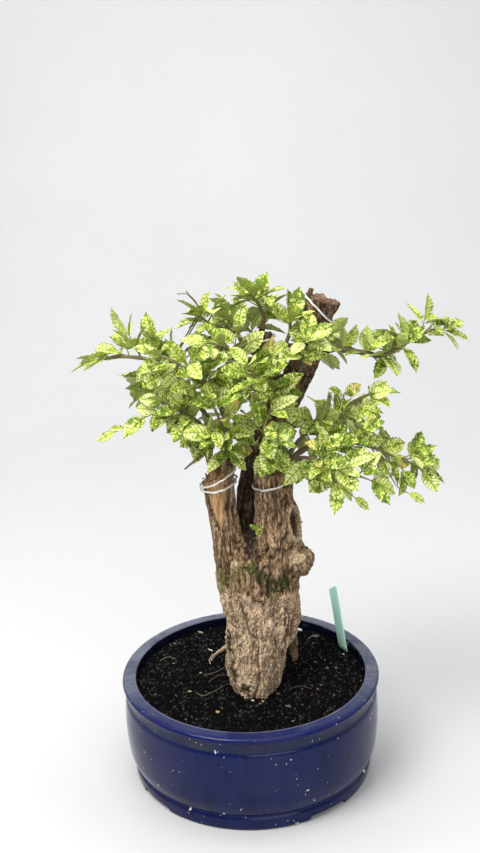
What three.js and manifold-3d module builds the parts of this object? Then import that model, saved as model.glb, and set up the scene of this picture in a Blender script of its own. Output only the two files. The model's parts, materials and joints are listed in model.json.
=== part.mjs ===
// A bonsai with variegated, toothed leaves on an old, cut-back trunk, in a round glazed pot.
// Millimetres, +Z up. Everything is laid out about the pot's axis with the table at z = 0,
// and the finished group is then moved so that its own box is centred over the origin.

import * as THREE from 'three';
import { mergeVertices } from 'three/addons/utils/BufferGeometryUtils.js';
import Module from 'manifold-3d';

const wasm = await Module();
wasm.setup();

// Driving dimensions of the pot
const POT_HEIGHT = 104;
const RIM_RADIUS = 128.6;
const RIM_INNER_RADIUS = 114.8;
const BELLY_RADIUS = 127.4;
const NECK_RADIUS = 124.2;
const FOOT_RADIUS = 120;
const FOOT_HEIGHT = 15;
const WALL = 9;
const FLOOR_THICKNESS = 8;
const FLOOR_UNDERSIDE = 7;
const DRAIN_RADIUS = 9;
const FOOT_GAP = { width: 44, height: 5.5, turn: 36 };
const POT_SECTORS = 36;

// Driving dimensions of what stands in the pot
const FIT = 0.35;
const SOIL_LEVEL = 95;
const LABEL = { width: 15, thickness: 1.1, above: 67, below: 30, point: 16 };
const LABEL_SPOT = [97.5, 50, SOIL_LEVEL];
const LABEL_LEAN = { turn: 60, left: 8, back: 22 };
const WIRE_RADIUS = 1;
const COLLAR_FLARE = { root: 1.7, mouth: 1.15 };
const LIMB_TENSION = 0.4;
const BRANCH_TENSION = 0.5;

// Driving dimensions of the foliage
const LEAF_LENGTH = 28;
const LEAF_HALF_THICKNESS = 0.75;
const LEAF_HALF_WIDTH = 0.25;
const LEAF_REACH = 0.8;
const TWIG_RADIUS = 0.9;
const TWIG_TAPER = 0.8;
const TWIG_SIDES = 3;
const BRANCH_TIP_RADIUS = 1.4;
const BRANCH_SIDES = 4;
const STRAIGHT_OUT = 4;
const SHORTEST_STEM = 7;
const LAST_SHOOT = 0.97;
const PAIR_GAP = 12;
const TIP_SINK = 2;
const PAIR_SINK = 3;
const MOST_LEAVES = 3;
const INNER_SHOOT = 0.5;
const CROWN_CENTRE = new THREE.Vector3(10, 10, 385);
const CROWN_STRETCH = new THREE.Vector3(0.5, 1.6, 0.4);

const up = new THREE.Vector3(0, 0, 1);
const vec = (p) => new THREE.Vector3(...p);

// A repeatable stream of numbers between 0 and 1
function makeRandom(seed) {
  let state = seed >>> 0;
  return () => {
    state = (state + 0x6d2b79f5) >>> 0;
    let mixed = Math.imul(state ^ (state >>> 15), state | 1);
    mixed ^= mixed + Math.imul(mixed ^ (mixed >>> 7), mixed | 61);
    return ((mixed ^ (mixed >>> 14)) >>> 0) / 4294967296;
  };
}

// Closed geometry to solid and back
function toSolid(geometry) {
  geometry.deleteAttribute('normal');
  geometry.deleteAttribute('uv');
  const merged = mergeVertices(geometry, 1e-4);
  return new wasm.Manifold(new wasm.Mesh({
    numProp: 3,
    vertProperties: new Float32Array(merged.attributes.position.array),
    triVerts: new Uint32Array(merged.index.array),
  }));
}

function toGeometry(solid) {
  const mesh = solid.getMesh();
  const geometry = new THREE.BufferGeometry();
  geometry.setAttribute('position', new THREE.BufferAttribute(mesh.vertProperties, 3));
  geometry.setIndex(new THREE.BufferAttribute(mesh.triVerts, 1));
  return geometry;
}

function meshFrom(points, triangles) {
  const geometry = new THREE.BufferGeometry();
  geometry.setAttribute('position', new THREE.Float32BufferAttribute(points.flat(), 3));
  geometry.setIndex(triangles.flat());
  return geometry;
}

const joinAll = (solids) => wasm.Manifold.union(solids);

// Joined solids as one body: what joining seals off inside is filled, and loose scraps are dropped
function joinAsOne(solids) {
  const pieces = joinAll(solids).decompose();
  return pieces.reduce((best, piece) => (piece.volume() > best.volume() ? piece : best));
}

// Flat rings of equal count, bottom to top, skinned and closed at each end
function skinRings(rings) {
  const count = rings[0].length;
  const last = (rings.length - 1) * count;
  const triangles = [];
  for (let i = 0; i < last; i++) {
    const beside = i % count === count - 1 ? i + 1 - count : i + 1;
    triangles.push([i, beside, beside + count], [i, beside + count, i + count]);
  }
  for (let i = 1; i + 1 < count; i++) {
    triangles.push([0, i + 1, i], [last, last + i, last + i + 1]);
  }
  return meshFrom(rings.flat(), triangles);
}

// Pot: a turned profile with a flat rolled rim, a narrow neck band, a full belly and a foot ring
function potProfile() {
  const inner = potInside();
  const outer = [
    [RIM_INNER_RADIUS + 1.2, POT_HEIGHT], // flat top of the rim
    [RIM_RADIUS - 4.2, POT_HEIGHT - 0.2],
    [RIM_RADIUS - 0.9, POT_HEIGHT - 1.6], // rolled lip
    [RIM_RADIUS - 0.3, POT_HEIGHT - 4.6],
    [NECK_RADIUS + 0.6, POT_HEIGHT - 7], // neck band
    [NECK_RADIUS, POT_HEIGHT - 17.5],
    [BELLY_RADIUS - 1.3, POT_HEIGHT - 21], // belly
    [BELLY_RADIUS, POT_HEIGHT - 42],
    [BELLY_RADIUS - 0.3, POT_HEIGHT - 58],
    [BELLY_RADIUS - 2.4, FOOT_HEIGHT + 13],
    [FOOT_RADIUS + 1.6, FOOT_HEIGHT + 4], // groove over the foot
    [FOOT_RADIUS - 1.4, FOOT_HEIGHT + 0.6],
    [FOOT_RADIUS + 0.6, FOOT_HEIGHT - 2.6], // foot ring
    [FOOT_RADIUS - 0.6, 0],
    [FOOT_RADIUS - 12, 0],
    [FOOT_RADIUS - 14, FLOOR_UNDERSIDE], // underside
    [DRAIN_RADIUS, FLOOR_UNDERSIDE],
  ];
  return [...inner, ...outer];
}

// The pot's inside, from the drain hole up to the rim's inner edge
function potInside() {
  const floor = FLOOR_UNDERSIDE + FLOOR_THICKNESS;
  return [
    [DRAIN_RADIUS, floor], // floor
    [FOOT_RADIUS - 22, floor],
    [BELLY_RADIUS - WALL - 5, floor + 9], // wall
    [RIM_INNER_RADIUS - 0.6, POT_HEIGHT - 6],
    [RIM_INNER_RADIUS, POT_HEIGHT - 1], // rim's inner edge
  ];
}

function makePot() {
  const profile = potProfile().map(([r, z]) => new THREE.Vector2(r, z));
  profile.push(profile[0].clone());
  profile.reverse();
  const turned = new THREE.LatheGeometry(profile, POT_SECTORS);
  turned.rotateX(Math.PI / 2);
  let pot = toSolid(turned);
  if (pot.volume() < 0) throw new Error('pot profile runs the wrong way');
  for (const turn of [0, 90]) {
    const gap = new THREE.BoxGeometry(4 * FOOT_RADIUS, FOOT_GAP.width, 2 * FOOT_GAP.height);
    gap.rotateZ(THREE.MathUtils.degToRad(FOOT_GAP.turn + turn));
    pot = pot.subtract(toSolid(gap));
  }
  return toGeometry(pot);
}

// Drain mesh: a thin square screen of crossing bars, lying over the hole in the pot's floor
const MESH_SIDE = 36;
const MESH_THICKNESS = 1.2;
const MESH_BAR = 3;
const MESH_BARS = 3;

function makeDrainMesh() {
  const bars = [];
  const pitch = (MESH_SIDE - MESH_BAR) / (MESH_BARS - 1);
  for (let i = 0; i < MESH_BARS; i++) {
    const offset = (i - (MESH_BARS - 1) / 2) * pitch;
    const floor = FLOOR_UNDERSIDE + FLOOR_THICKNESS + FIT + MESH_THICKNESS / 2;
    bars.push(new THREE.BoxGeometry(MESH_SIDE, MESH_BAR, MESH_THICKNESS).translate(0, offset, floor));
    bars.push(new THREE.BoxGeometry(MESH_BAR, MESH_SIDE, MESH_THICKNESS).translate(offset, 0, floor));
  }
  return toGeometry(joinAll(bars.map(toSolid)));
}

// Limbs: rings along a smooth line, each station [x, y, z, half width, half depth]
const BARK_WAVES = [
  { around: 5, along: 0.045, phase: 0.7, height: 0.42 },
  { around: 9, along: 0.021, phase: 2.1, height: 0.5 },
  { around: 13, along: -0.034, phase: 4.4, height: 0.3 },
  { around: 3, along: 0.21, phase: 1.3, height: 0.22 },
];

function bark(angle, along, seed) {
  return BARK_WAVES.reduce((sum, wave) => {
    const phase = wave.phase * (1 + seed);
    return sum + wave.height * Math.cos(wave.around * angle + wave.along * along + phase);
  }, 0);
}

// One section across a limb, as a rule that gives the skin's point at an angle. Past the limb's end
// the section moves on in a straight line
function limbSection({ stations, relief = 0, seed = 0, wedge = 0, from = -Infinity }, t, grow = 0) {
  const smooth = (points) => new THREE.CatmullRomCurve3(points, false, 'catmullrom', LIMB_TENSION);
  const line = smooth(stations.map((s) => vec(s.slice(0, 3))));
  const size = smooth(stations.map((s) => new THREE.Vector3(s[3], s[4] ?? s[3], 0))).getPoint(Math.min(t, 1));
  const ahead = line.getTangent(Math.min(t, 1));
  const side = new THREE.Vector3(1, 0, 0).addScaledVector(ahead, -ahead.x).normalize();
  const depth = ahead.clone().cross(side);
  const lastStep = vec(stations.at(-1)).distanceTo(vec(stations.at(-2))) * (stations.length - 1);
  const centre = line.getPoint(Math.min(t, 1)).addScaledVector(ahead, Math.max(t - 1, 0) * lastStep);
  return (angle, slant = 0) => {
    const rise = relief * bark(angle, Math.max(centre.z, from), seed) + grow;
    const narrow = 1 - wedge * Math.max(0, -Math.sin(angle)) ** 2;
    const across = Math.cos(angle) * (size.x + rise) * narrow;
    return centre.clone().addScaledVector(side, across).addScaledVector(ahead, slant * across)
      .addScaledVector(depth, Math.sin(angle) * (size.y + rise));
  };
}

function limb(shape, grow = 0) {
  const rings = [];
  for (let row = 0; row <= shape.rings; row++) {
    const section = limbSection(shape, row / shape.rings, grow);
    const slant = row === shape.rings ? shape.slant : 0;
    rings.push(Array.from({ length: shape.sectors }, (_, i) => (
      section(2 * Math.PI * i / shape.sectors, slant).toArray())));
  }
  return skinRings(rings);
}

// Trunk: a stout base that divides into two sawn stubs, with an older stem between and behind them
// that leans right and forks once more
const TRUNK = {
  sectors: 20, rings: 15, relief: 1.7, wedge: 0.2, from: SOIL_LEVEL + 2,
  stations: [
    [4, -13, 76, 24, 34], [4, -13, 96, 24.5, 34], [5, -13, 112, 29, 34], [6, -12, 130, 30, 33],
    [8, -12, 148, 32, 32], [12, -12, 160, 36, 32], [13.5, -12, 172, 37.5, 32], [12, -12, 186, 38, 32],
    [11, -11, 201, 40, 31.5], [11, -11, 217, 41, 31], [11, -10, 232, 41, 30], [10, -9, 246, 34, 24],
    [9, -6, 257, 22, 14],
  ],
};
const LEFT_STUB = {
  sectors: 11, rings: 9, relief: 1.1, seed: 1, slant: 0.6,
  stations: [
    [-8, -10, 196, 14, 16], [-14, -10, 228, 16, 18], [-18.5, -9, 256, 14.5, 16.5],
    [-21.5, -9, 280, 13.8, 15.5], [-23.3, -9, 298, 14.6, 15.2], [-24.3, -9, 318, 15.2, 15.4],
  ],
};
const RIGHT_STUB = {
  sectors: 12, rings: 9, relief: 1.2, seed: 2, slant: -0.12,
  stations: [
    [26, -13, 200, 23, 22], [29, -13, 228, 24, 22], [30, -14, 254, 22.5, 21], [30, -14, 274, 21.5, 20.5],
    [28, -14, 289, 18.5, 19], [28, -14, 304, 18, 18], [26, -14, 320, 17, 17],
  ],
};
const LEANING_STEM = {
  sectors: 11, rings: 15, relief: 1, seed: 3,
  stations: [
    [3, 10, 238, 13, 12], [6, 13, 265, 14, 12], [8, 15, 290, 14, 13], [15, 16, 320, 14, 13],
    [25, 16, 350, 14, 13.5], [39, 14, 376, 14.5, 13.5], [50, 11, 398, 13.5, 13],
    [59, 9, 415, 13, 13], [66, 8, 436, 14, 13.5], [70, 8, 457, 14.5, 14], [77, 8, 477, 15.5, 14],
  ],
};
const BACK_STUB = {
  sectors: 9, rings: 5, relief: 0.8, seed: 4, slant: -0.2,
  stations: [[33, 15, 374, 9, 9], [29, 18, 398, 10, 9.5], [24, 21, 420, 10, 9.5], [20, 22, 443, 10.5, 10]],
};
const SPUR = { sectors: 5, rings: 2, stations: [[68, 6, 464, 3.4], [66, 5, 476, 2.8], [67, 4, 484, 2.4]] };
const SIDE_ROOT = {
  sectors: 8, rings: 7, relief: 0.5, seed: 5,
  stations: [
    [26, -2, 176, 9, 9], [38, 14, 158, 8, 8], [45, 27, 130, 6, 7], [47, 34, 97, 7, 8], [47, 34, 86, 6, 7],
  ],
};
const PALE_ROOT = {
  sectors: 6, rings: 7,
  stations: [[-8, 2, 138, 4], [-22, 10, 124, 3.2], [-33, 26, 108, 2.6], [-38, 34, 98, 2.2], [-44, 32, 84, 1.8]],
};
const LUMP_SEGMENTS = [8, 5];
const BURL = { at: [45, -17, 224], radii: [19.5, 17, 19] };
const HOLLOW_KNOT = { at: [48, -26, 273], radii: [7, 7, 16] };

// Where the living branches leave the old wood: a short collar from inside the wood to its flat end
const COLLARS = {
  spray_left_high: [[-22, -7, 310], [-19, 0, 334]],
  spray_left_mid: [[-17, -9, 316], [-13, -13, 340]],
  spray_left_low: [[-28, -10, 308], [-30, -16, 332]],
  spray_front_left: [[-19, -14, 312], [-18, -27, 332]],
  spray_front_mid: [[22, -18, 310], [22, -33, 331]],
  spray_centre: [[34, 13, 362], [36, -5, 368]],
  spray_mid: [[27, 20, 402], [17, 8, 410]],
  spray_top: [[20, 22, 434], [22, 22, 449]],
  spray_top_left: [[24, 21, 420], [9, 20, 427]],
  spray_top_right: [[64, 7, 430], [47, 1, 436]],
  spray_over_stub: [[60, 8, 412], [58, -9, 419]],
  spray_long_right: [[64, 8, 424], [84, 10, 429]],
  spray_right_mid: [[28, 15, 350], [47, 5, 356]],
  spray_right_low: [[36, -13, 310], [46, -12, 329]],
  spray_right_front: [[33, -21, 308], [41, -33, 326]],
  spray_back_left: [[-25, -8, 306], [-33, 1, 331]],
  spray_back_right: [[34, -6, 308], [43, 7, 325]],
  spray_back_mid: [[18, 17, 338], [16, 34, 348]],
  spray_back_top: [[25, 21, 412], [20, 36, 424]],
  spray_back_out: [[56, 11, 402], [62, 28, 412]],
};
const COLLAR_SIDES = 4;

// A tapering tube along a smooth line. Its sections start out level, unless the line starts straight up
const NEARLY_UPRIGHT = 0.1;

function tube(points, startRadius, endRadius, sides, steps) {
  const line = new THREE.CatmullRomCurve3(points, false, 'catmullrom', BRANCH_TENSION);
  const rings = [];
  let side = new THREE.Vector3(0, 0, 1).cross(line.getTangent(0));
  if (side.length() < NEARLY_UPRIGHT) side.set(1, 0, 0);
  for (let row = 0; row <= steps; row++) {
    const t = row / steps;
    const ahead = line.getTangent(t);
    side = side.addScaledVector(ahead, -side.dot(ahead)).normalize();
    const depth = ahead.clone().cross(side);
    const radius = THREE.MathUtils.lerp(startRadius, endRadius, t);
    const ring = [];
    for (let i = 0; i < sides; i++) {
      const angle = 2 * Math.PI * (i + 0.5) / sides;
      ring.push(line.getPoint(t).addScaledVector(side, radius * Math.cos(angle))
        .addScaledVector(depth, radius * Math.sin(angle)).toArray());
    }
    rings.push(ring);
  }
  return skinRings(rings);
}

// Living branches: the points that a branch passes on from its collar, and its shoots, each with the
// share of the branch's length at which it leaves and the point that its last leaf reaches
const SPRAYS = [
  { name: 'spray_left_high', radius: 3.2,
    path: [[-28, 8, 359], [-48, 8, 392], [-74, 6, 421], [-103, 2, 430], [-126, 0, 429]],
    shoots: [[1, -156, -2, 426], [0.86, -132, 10, 439], [0.8, -108, 10, 457], [0.8, -112, 18, 468],
      [0.7, -79, 14, 463], [0.72, -95, -10, 417], [0.55, -62, 24, 447], [0.5, -66, -16, 408]] },
  { name: 'spray_left_mid', radius: 3,
    path: [[-18, -24, 384], [-32, -34, 411], [-53, -38, 431], [-72, -36, 441]],
    shoots: [[1, -88, -32, 452], [0.9, -80, -44, 428], [0.75, -59, -38, 453], [0.6, -36, -46, 447],
      [0.6, -60, -54, 418], [0.4, -36, -60, 412], [0.4, -16, -56, 429]] },
  { name: 'spray_left_low', radius: 2.8,
    path: [[-32, -22, 362], [-52, -28, 384], [-72, -32, 396]],
    shoots: [[1, -93, -30, 403], [0.85, -83, -36, 377], [0.7, -67, -44, 369], [0.45, -46, -46, 363],
      [0.7, -61, -50, 410], [0.3, -51, -32, 338], [0.95, -109, -30, 370]] },
  { name: 'spray_front_left', radius: 2.4,
    path: [[-13, -40, 356], [-18, -54, 379], [-24, -62, 398]],
    shoots: [[1, -30, -66, 414], [0.7, -34, -62, 372], [0.6, 0, -64, 379], [0.8, -5, -70, 407],
      [0.3, -32, -48, 343], [0.3, -3, -46, 341]] },
  { name: 'spray_front_mid', radius: 2.4,
    path: [[21, -46, 353], [19, -56, 374], [25, -62, 394]],
    shoots: [[1, 38, -66, 406], [0.35, 16, -60, 332], [0.6, 40, -66, 367], [0.9, 9, -72, 405],
      [0.4, 40, -58, 340]] },
  { name: 'spray_centre', radius: 3,
    path: [[30, -26, 394], [19, -44, 415], [4, -54, 427]],
    shoots: [[1, -12, -62, 436], [0.75, 14, -54, 442], [0.5, 40, -50, 418], [0.9, 1, -70, 414],
      [0.4, 55, -34, 405], [0.85, -6, -50, 451]] },
  { name: 'spray_mid', radius: 2.6,
    path: [[3, -8, 428], [-12, -20, 441], [-28, -26, 448]],
    shoots: [[1, -47, -26, 455], [0.8, -24, -18, 463], [0.5, -3, -28, 454], [0.3, 20, -24, 437],
      [0.9, -39, -46, 438]] },
  { name: 'spray_top', radius: 2.6,
    path: [[24, 20, 456], [20, 16, 470], [13, 12, 481]],
    shoots: [[1, 3, 8, 505], [0.75, 19, 12, 496], [0.4, 41, 16, 484], [0.3, 48, 14, 460],
      [0.9, -7, 2, 487], [0.55, 28, 34, 472]] },
  { name: 'spray_top_left', radius: 2.6,
    path: [[-3, 18, 446], [-23, 14, 453], [-35, 14, 463]],
    shoots: [[0.6, 2, 6, 479], [1, -46, 16, 480], [0.95, -32, 10, 477], [0.95, -58, 18, 459],
      [0.8, -45, 4, 449], [0.5, -10, 36, 455]] },
  { name: 'spray_top_right', radius: 2.2,
    path: [[46, -3, 449], [47, -6, 463]],
    shoots: [[1, 54, -8, 483], [0.9, 68, -14, 477], [0.8, 38, 2, 473], [0.3, 36, -16, 441]] },
  { name: 'spray_over_stub', radius: 2.2,
    path: [[56, -22, 435], [59, -28, 449]],
    shoots: [[1, 77, -28, 458], [0.5, 39, -32, 440], [0.9, 64, -24, 464], [0.4, 74, -26, 436]] },
  { name: 'spray_long_right', radius: 3.4,
    path: [[99, 11, 427], [118, 12, 423], [133, 12, 420], [154, 12, 431], [167, 12, 438], [185, 12, 445]],
    shoots: [[0.12, 95, 4, 446], [0.32, 113, 4, 443], [0.5, 133, 6, 440], [0.62, 141, 12, 450],
      [0.72, 156, 14, 456], [0.86, 176, 14, 473], [1, 212, 8, 438], [0.5, 125, -4, 407],
      [0.68, 155, 2, 421]] },
  { name: 'spray_right_mid', radius: 2.6,
    path: [[71, -8, 366], [87, -10, 375], [106, -8, 383], [120, -8, 390]],
    shoots: [[1, 133, -10, 394], [0.5, 120, -16, 378], [0.3, 61, -16, 382], [0.4, 84, -6, 390],
      [0.4, 99, -20, 367], [0.5, 107, 4, 369]] },
  { name: 'spray_right_low', radius: 3,
    path: [[64, -20, 345], [86, -24, 351], [109, -26, 347], [132, -26, 338], [156, -26, 326]],
    shoots: [[1, 188, -28, 312], [0.95, 178, -22, 332], [0.75, 152, -20, 347], [0.55, 118, -16, 363],
      [0.8, 145, -40, 314], [0.5, 116, -46, 336], [0.35, 93, -30, 368], [0.7, 140, -4, 346]] },
  { name: 'spray_right_front', radius: 2.8,
    path: [[51, -44, 342], [67, -52, 342], [86, -56, 335], [106, -56, 326]],
    shoots: [[0.6, 100, -60, 306], [0.3, 47, -54, 321], [0.4, 61, -60, 321], [0.7, 82, -62, 323],
      [1, 137, -54, 312], [0.5, 77, -64, 360], [0.8, 104, -62, 347]] },
  { name: 'spray_back_left', radius: 3,
    path: [[-46, 28, 350], [-68, 44, 376], [-90, 52, 394]],
    shoots: [[1, -116, 56, 402], [0.8, -98, 74, 388], [0.55, -72, 66, 362], [0.6, -58, 58, 400],
      [0.4, -40, 50, 374]] },
  { name: 'spray_back_right', radius: 3,
    path: [[62, 26, 342], [86, 42, 350], [112, 48, 346]],
    shoots: [[1, 138, 48, 338], [0.8, 122, 68, 352], [0.6, 94, 66, 366], [0.5, 88, 60, 332],
      [0.4, 62, 52, 356]] },
  { name: 'spray_back_mid', radius: 2.8,
    path: [[8, 52, 374], [-6, 66, 398], [-20, 74, 416]],
    shoots: [[1, -38, 78, 430], [0.8, 4, 84, 416], [0.6, -34, 80, 396], [0.5, 26, 72, 388],
      [0.4, -16, 62, 372]] },
  { name: 'spray_back_top', radius: 2.6,
    path: [[10, 48, 440], [-6, 56, 452]],
    shoots: [[1, -28, 60, 462], [0.8, 6, 70, 468], [0.6, -16, 78, 450], [0.5, 30, 60, 458]] },
  { name: 'spray_back_out', radius: 2.6,
    path: [[72, 44, 418], [88, 56, 424]],
    shoots: [[1, 108, 62, 430], [0.8, 84, 74, 436], [0.6, 60, 66, 430], [0.5, 96, 52, 404]] },
];

// Leaf outline along one side, from stalk to tip: [distance along the leaf, half width]
const LEAF_SIDE = [[0.38, 0.275], [0.45, 0.215], [0.68, 0.2], [0.74, 0.13]];
const LEAF_CREST = 0.4;

// A closed lens-shaped blade whose two faces share the toothed outline and are cut into triangles alike
function leafSolid({ base, along, normal, length, fold, droop, twist }, grow = 0) {
  const across = normal.clone().cross(along);
  const spread = 1 + grow / (LEAF_HALF_WIDTH * length);
  const place = (t, w, lift = 0) => {
    const lean = fold * Math.abs(w) + twist * w * t - droop * t * t;
    return base.clone().addScaledVector(along, length * t).addScaledVector(across, length * w * spread)
      .addScaledVector(normal, length * lean + lift).toArray();
  };
  const half = LEAF_HALF_THICKNESS + grow;
  const near = LEAF_SIDE.map(([t, w]) => place(t, w));
  const far = LEAF_SIDE.map(([t, w]) => place(t, -w)).reverse();
  const edge = [place(0, 0), ...near, place(1, 0), ...far];
  const points = [...edge, place(LEAF_CREST, 0, half), place(LEAF_CREST, 0, -half)];
  const triangles = edge.flatMap((_, i) => {
    const next = (i + 1) % edge.length;
    return [[next, i, edge.length], [i, next, edge.length + 1]];
  });
  return toSolid(meshFrom(points, triangles));
}

// How a leaf stands on its shoot, in radians, and how far chance may change it
const STANCE = {
  tipOpen: 0.1, pairOpen: 0.95, openSpread: 0.3, firstTurn: 0.4, turnSpread: 0.5,
  sag: 0.12, lookUp: 0.6, lookSpread: 0.7, lookForward: 0.2,
};

// A leaf's own build: the least, and what chance adds
const BUILD = { length: [0.88, 0.24], fold: [0.2, 0.2], droop: [0.08, 0.14], twist: [-0.125, 0.25] };
const built = ([least, more], draw) => least + more * draw;

// Leaves of one shoot, counted from its tip: one at the tip, then pairs that cross each other. A shoot's
// line ends at the tip of its last leaf, so its bare stem stops most of a leaf's length short
function shootLeaves(line, stem, random) {
  const leaves = [];
  const add = (distance, turn, open) => {
    const draws = [random(), random(), random(), random(), random()];
    const ahead = line.getTangent(0);
    const base = line.getPoint(distance / line.getLength());
    const level = up.clone().cross(ahead).normalize();
    const side = level.applyAxisAngle(ahead, turn + STANCE.turnSpread * (draws[0] - 0.5));
    const angle = open + STANCE.openSpread * (draws[1] - 0.5);
    const along = ahead.clone().multiplyScalar(Math.cos(angle)).addScaledVector(side, Math.sin(angle));
    along.addScaledVector(up, -STANCE.sag).normalize();
    const outward = base.clone().sub(CROWN_CENTRE).multiply(CROWN_STRETCH).normalize();
    const facing = up.clone().multiplyScalar(STANCE.lookUp).add(outward);
    const chance = new THREE.Vector3(draws[2] - 0.5, draws[3] - 0.5 - STANCE.lookForward, draws[4] - 0.5);
    facing.add(chance.multiplyScalar(STANCE.lookSpread));
    const normal = facing.addScaledVector(along, -facing.dot(along)).normalize();
    leaves.push({
      base, along, normal, ahead, length: LEAF_LENGTH * built(BUILD.length, draws[1]),
      fold: built(BUILD.fold, draws[2]), droop: built(BUILD.droop, draws[3]),
      twist: built(BUILD.twist, draws[4]),
    });
  };
  add(Math.max(stem - TIP_SINK, 0), 0, STANCE.tipOpen);
  let turn = STANCE.firstTurn;
  for (let distance = Math.max(stem - PAIR_SINK, 0); distance >= 0; distance -= PAIR_GAP) {
    add(distance, turn, STANCE.pairOpen);
    add(distance, turn + Math.PI, STANCE.pairOpen);
    turn += Math.PI / 2;
  }
  return leaves;
}

// The bare wood of a spray: its branch, which starts just clear of the collar, and its shoots
function sprayWood({ name, radius, path, shoots }, index) {
  const [inside, mouth] = COLLARS[name].map(vec);
  const out = mouth.clone().sub(inside).normalize();
  const start = mouth.clone().addScaledVector(out, FIT);
  const bend = start.clone().addScaledVector(out, STRAIGHT_OUT);
  const route = new THREE.CatmullRomCurve3(
    [start, bend, ...path.map(vec)], false, 'catmullrom', BRANCH_TENSION);
  const points = route.getPoints(path.length + 1);
  const branch = new THREE.CurvePath();
  points.slice(1).forEach((point, i) => branch.add(new THREE.LineCurve3(points[i], point)));
  const solids = [toSolid(tube(points, radius, BRANCH_TIP_RADIUS, BRANCH_SIDES, points.length - 1))];
  const twigs = shoots.map(([t, ...end], k) => {
    const line = new THREE.LineCurve3(branch.getPoint(t * LAST_SHOOT), vec(end));
    const reach = line.getLength() - LEAF_REACH * LEAF_LENGTH;
    const stem = reach < SHORTEST_STEM ? 0 : reach;
    const leaves = shootLeaves(line, stem, makeRandom(100 * (index + 1) + k));
    leaves.length = Math.min(leaves.length, t > INNER_SHOOT ? MOST_LEAVES : MOST_LEAVES - 1);
    if (stem === 0) return { leaves };
    const ends = [line.getPoint(0), line.getPoint(stem / line.getLength())];
    const twig = toSolid(tube(ends, TWIG_RADIUS, TWIG_RADIUS * TWIG_TAPER, TWIG_SIDES, 1));
    solids.push(twig);
    return { twig: boxed(twig), leaves };
  });
  return { name, wood: joinAsOne(solids), twigs };
}

const overlaps = (a, b) => {
  const [p, q] = [a.box, b.box];
  for (let k = 0; k < 3; k++) if (p.min[k] > q.max[k] || q.min[k] > p.max[k]) return false;
  return !a.solid.intersect(b.solid).isEmpty();
};
const boxed = (solid) => ({ solid, box: solid.boundingBox() });

// Ways to turn a leaf about its own stalk and its twig until it clears what is already there
const TURNS = [[0, 0], [0.35, 0], [-0.35, 0], [0, 0.45], [0, -0.45], [0.7, 0.3], [-0.7, -0.3]];

function turned(leaf, [roll, swing]) {
  const along = leaf.along.clone().applyAxisAngle(leaf.ahead, swing);
  const normal = leaf.normal.clone().applyAxisAngle(leaf.ahead, swing).applyAxisAngle(along, roll);
  return { ...leaf, along, normal };
}

function dressSprays(fixed) {
  const sprays = SPRAYS.map(sprayWood);
  const woods = sprays.map((spray) => boxed(spray.wood));
  const placed = sprays.map(() => []);
  sprays.forEach((spray, own) => {
    for (const { twig, leaves } of spray.twigs) {
      const ownTwigs = spray.twigs.map((other) => other.twig).filter((other) => other && other !== twig);
      const others = [...fixed, ...woods.filter((_, k) => k !== own)];
      for (const leaf of leaves) {
        const clears = (turn, things) => {
          const fat = boxed(leafSolid(turned(leaf, turn), FIT));
          return ![...things, ...placed.flat()].some((other) => overlaps(fat, other));
        };
        const turn = TURNS.find((way) => clears(way, [...others, ...ownTwigs]))
          ?? TURNS.find((way) => clears(way, others));
        if (turn) placed[own].push(boxed(leafSolid(turned(leaf, turn))));
      }
    }
  });
  return sprays.map((spray, own) => ({
    name: spray.name,
    geometry: toGeometry(joinAsOne([spray.wood, ...placed[own].map((leaf) => leaf.solid)])),
  }));
}

function makeTrunk() {
  const parts = [TRUNK, LEFT_STUB, RIGHT_STUB, LEANING_STEM, BACK_STUB, SPUR, SIDE_ROOT, PALE_ROOT];
  const solids = parts.map((part) => toSolid(limb(part)));
  SPRAYS.forEach(({ name, radius }) => {
    const ends = COLLARS[name].map(vec);
    solids.push(toSolid(tube(ends, radius * COLLAR_FLARE.root, radius * COLLAR_FLARE.mouth, COLLAR_SIDES, 1)));
  });
  const lump = ({ at, radii }) => {
    return toSolid(new THREE.SphereGeometry(1, ...LUMP_SEGMENTS).scale(...radii).translate(...at));
  };
  solids.push(lump(BURL));
  return joinAsOne([joinAsOne(solids).subtract(lump(HOLLOW_KNOT))]);
}

// Label: a thin plastic stake with a pointed foot, leaning back against nothing but the soil
function labelPlate(grow = 0) {
  const half = LABEL.width / 2 + grow;
  const foot = -LABEL.below - grow;
  const plate = new THREE.Shape();
  plate.moveTo(0, foot).lineTo(half, foot + LABEL.point).lineTo(half, LABEL.above)
    .lineTo(-half, LABEL.above).lineTo(-half, foot + LABEL.point).closePath();
  const thickness = LABEL.thickness + 2 * grow;
  const geometry = new THREE.ExtrudeGeometry(plate, { depth: thickness, bevelEnabled: false });
  geometry.translate(0, 0, -thickness / 2);
  geometry.rotateX(Math.PI / 2);
  geometry.rotateZ(THREE.MathUtils.degToRad(-LABEL_LEAN.turn));
  geometry.rotateX(THREE.MathUtils.degToRad(-LABEL_LEAN.back));
  geometry.rotateY(THREE.MathUtils.degToRad(-LABEL_LEAN.left));
  geometry.translate(...LABEL_SPOT);
  return geometry;
}

// Soil: fills the pot to below the rim, with an uneven top, round plain holes for what stands in it
const SOIL_EDGE_DIP = 0.5;
const SOIL_RINGS = [90, 58];

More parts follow.
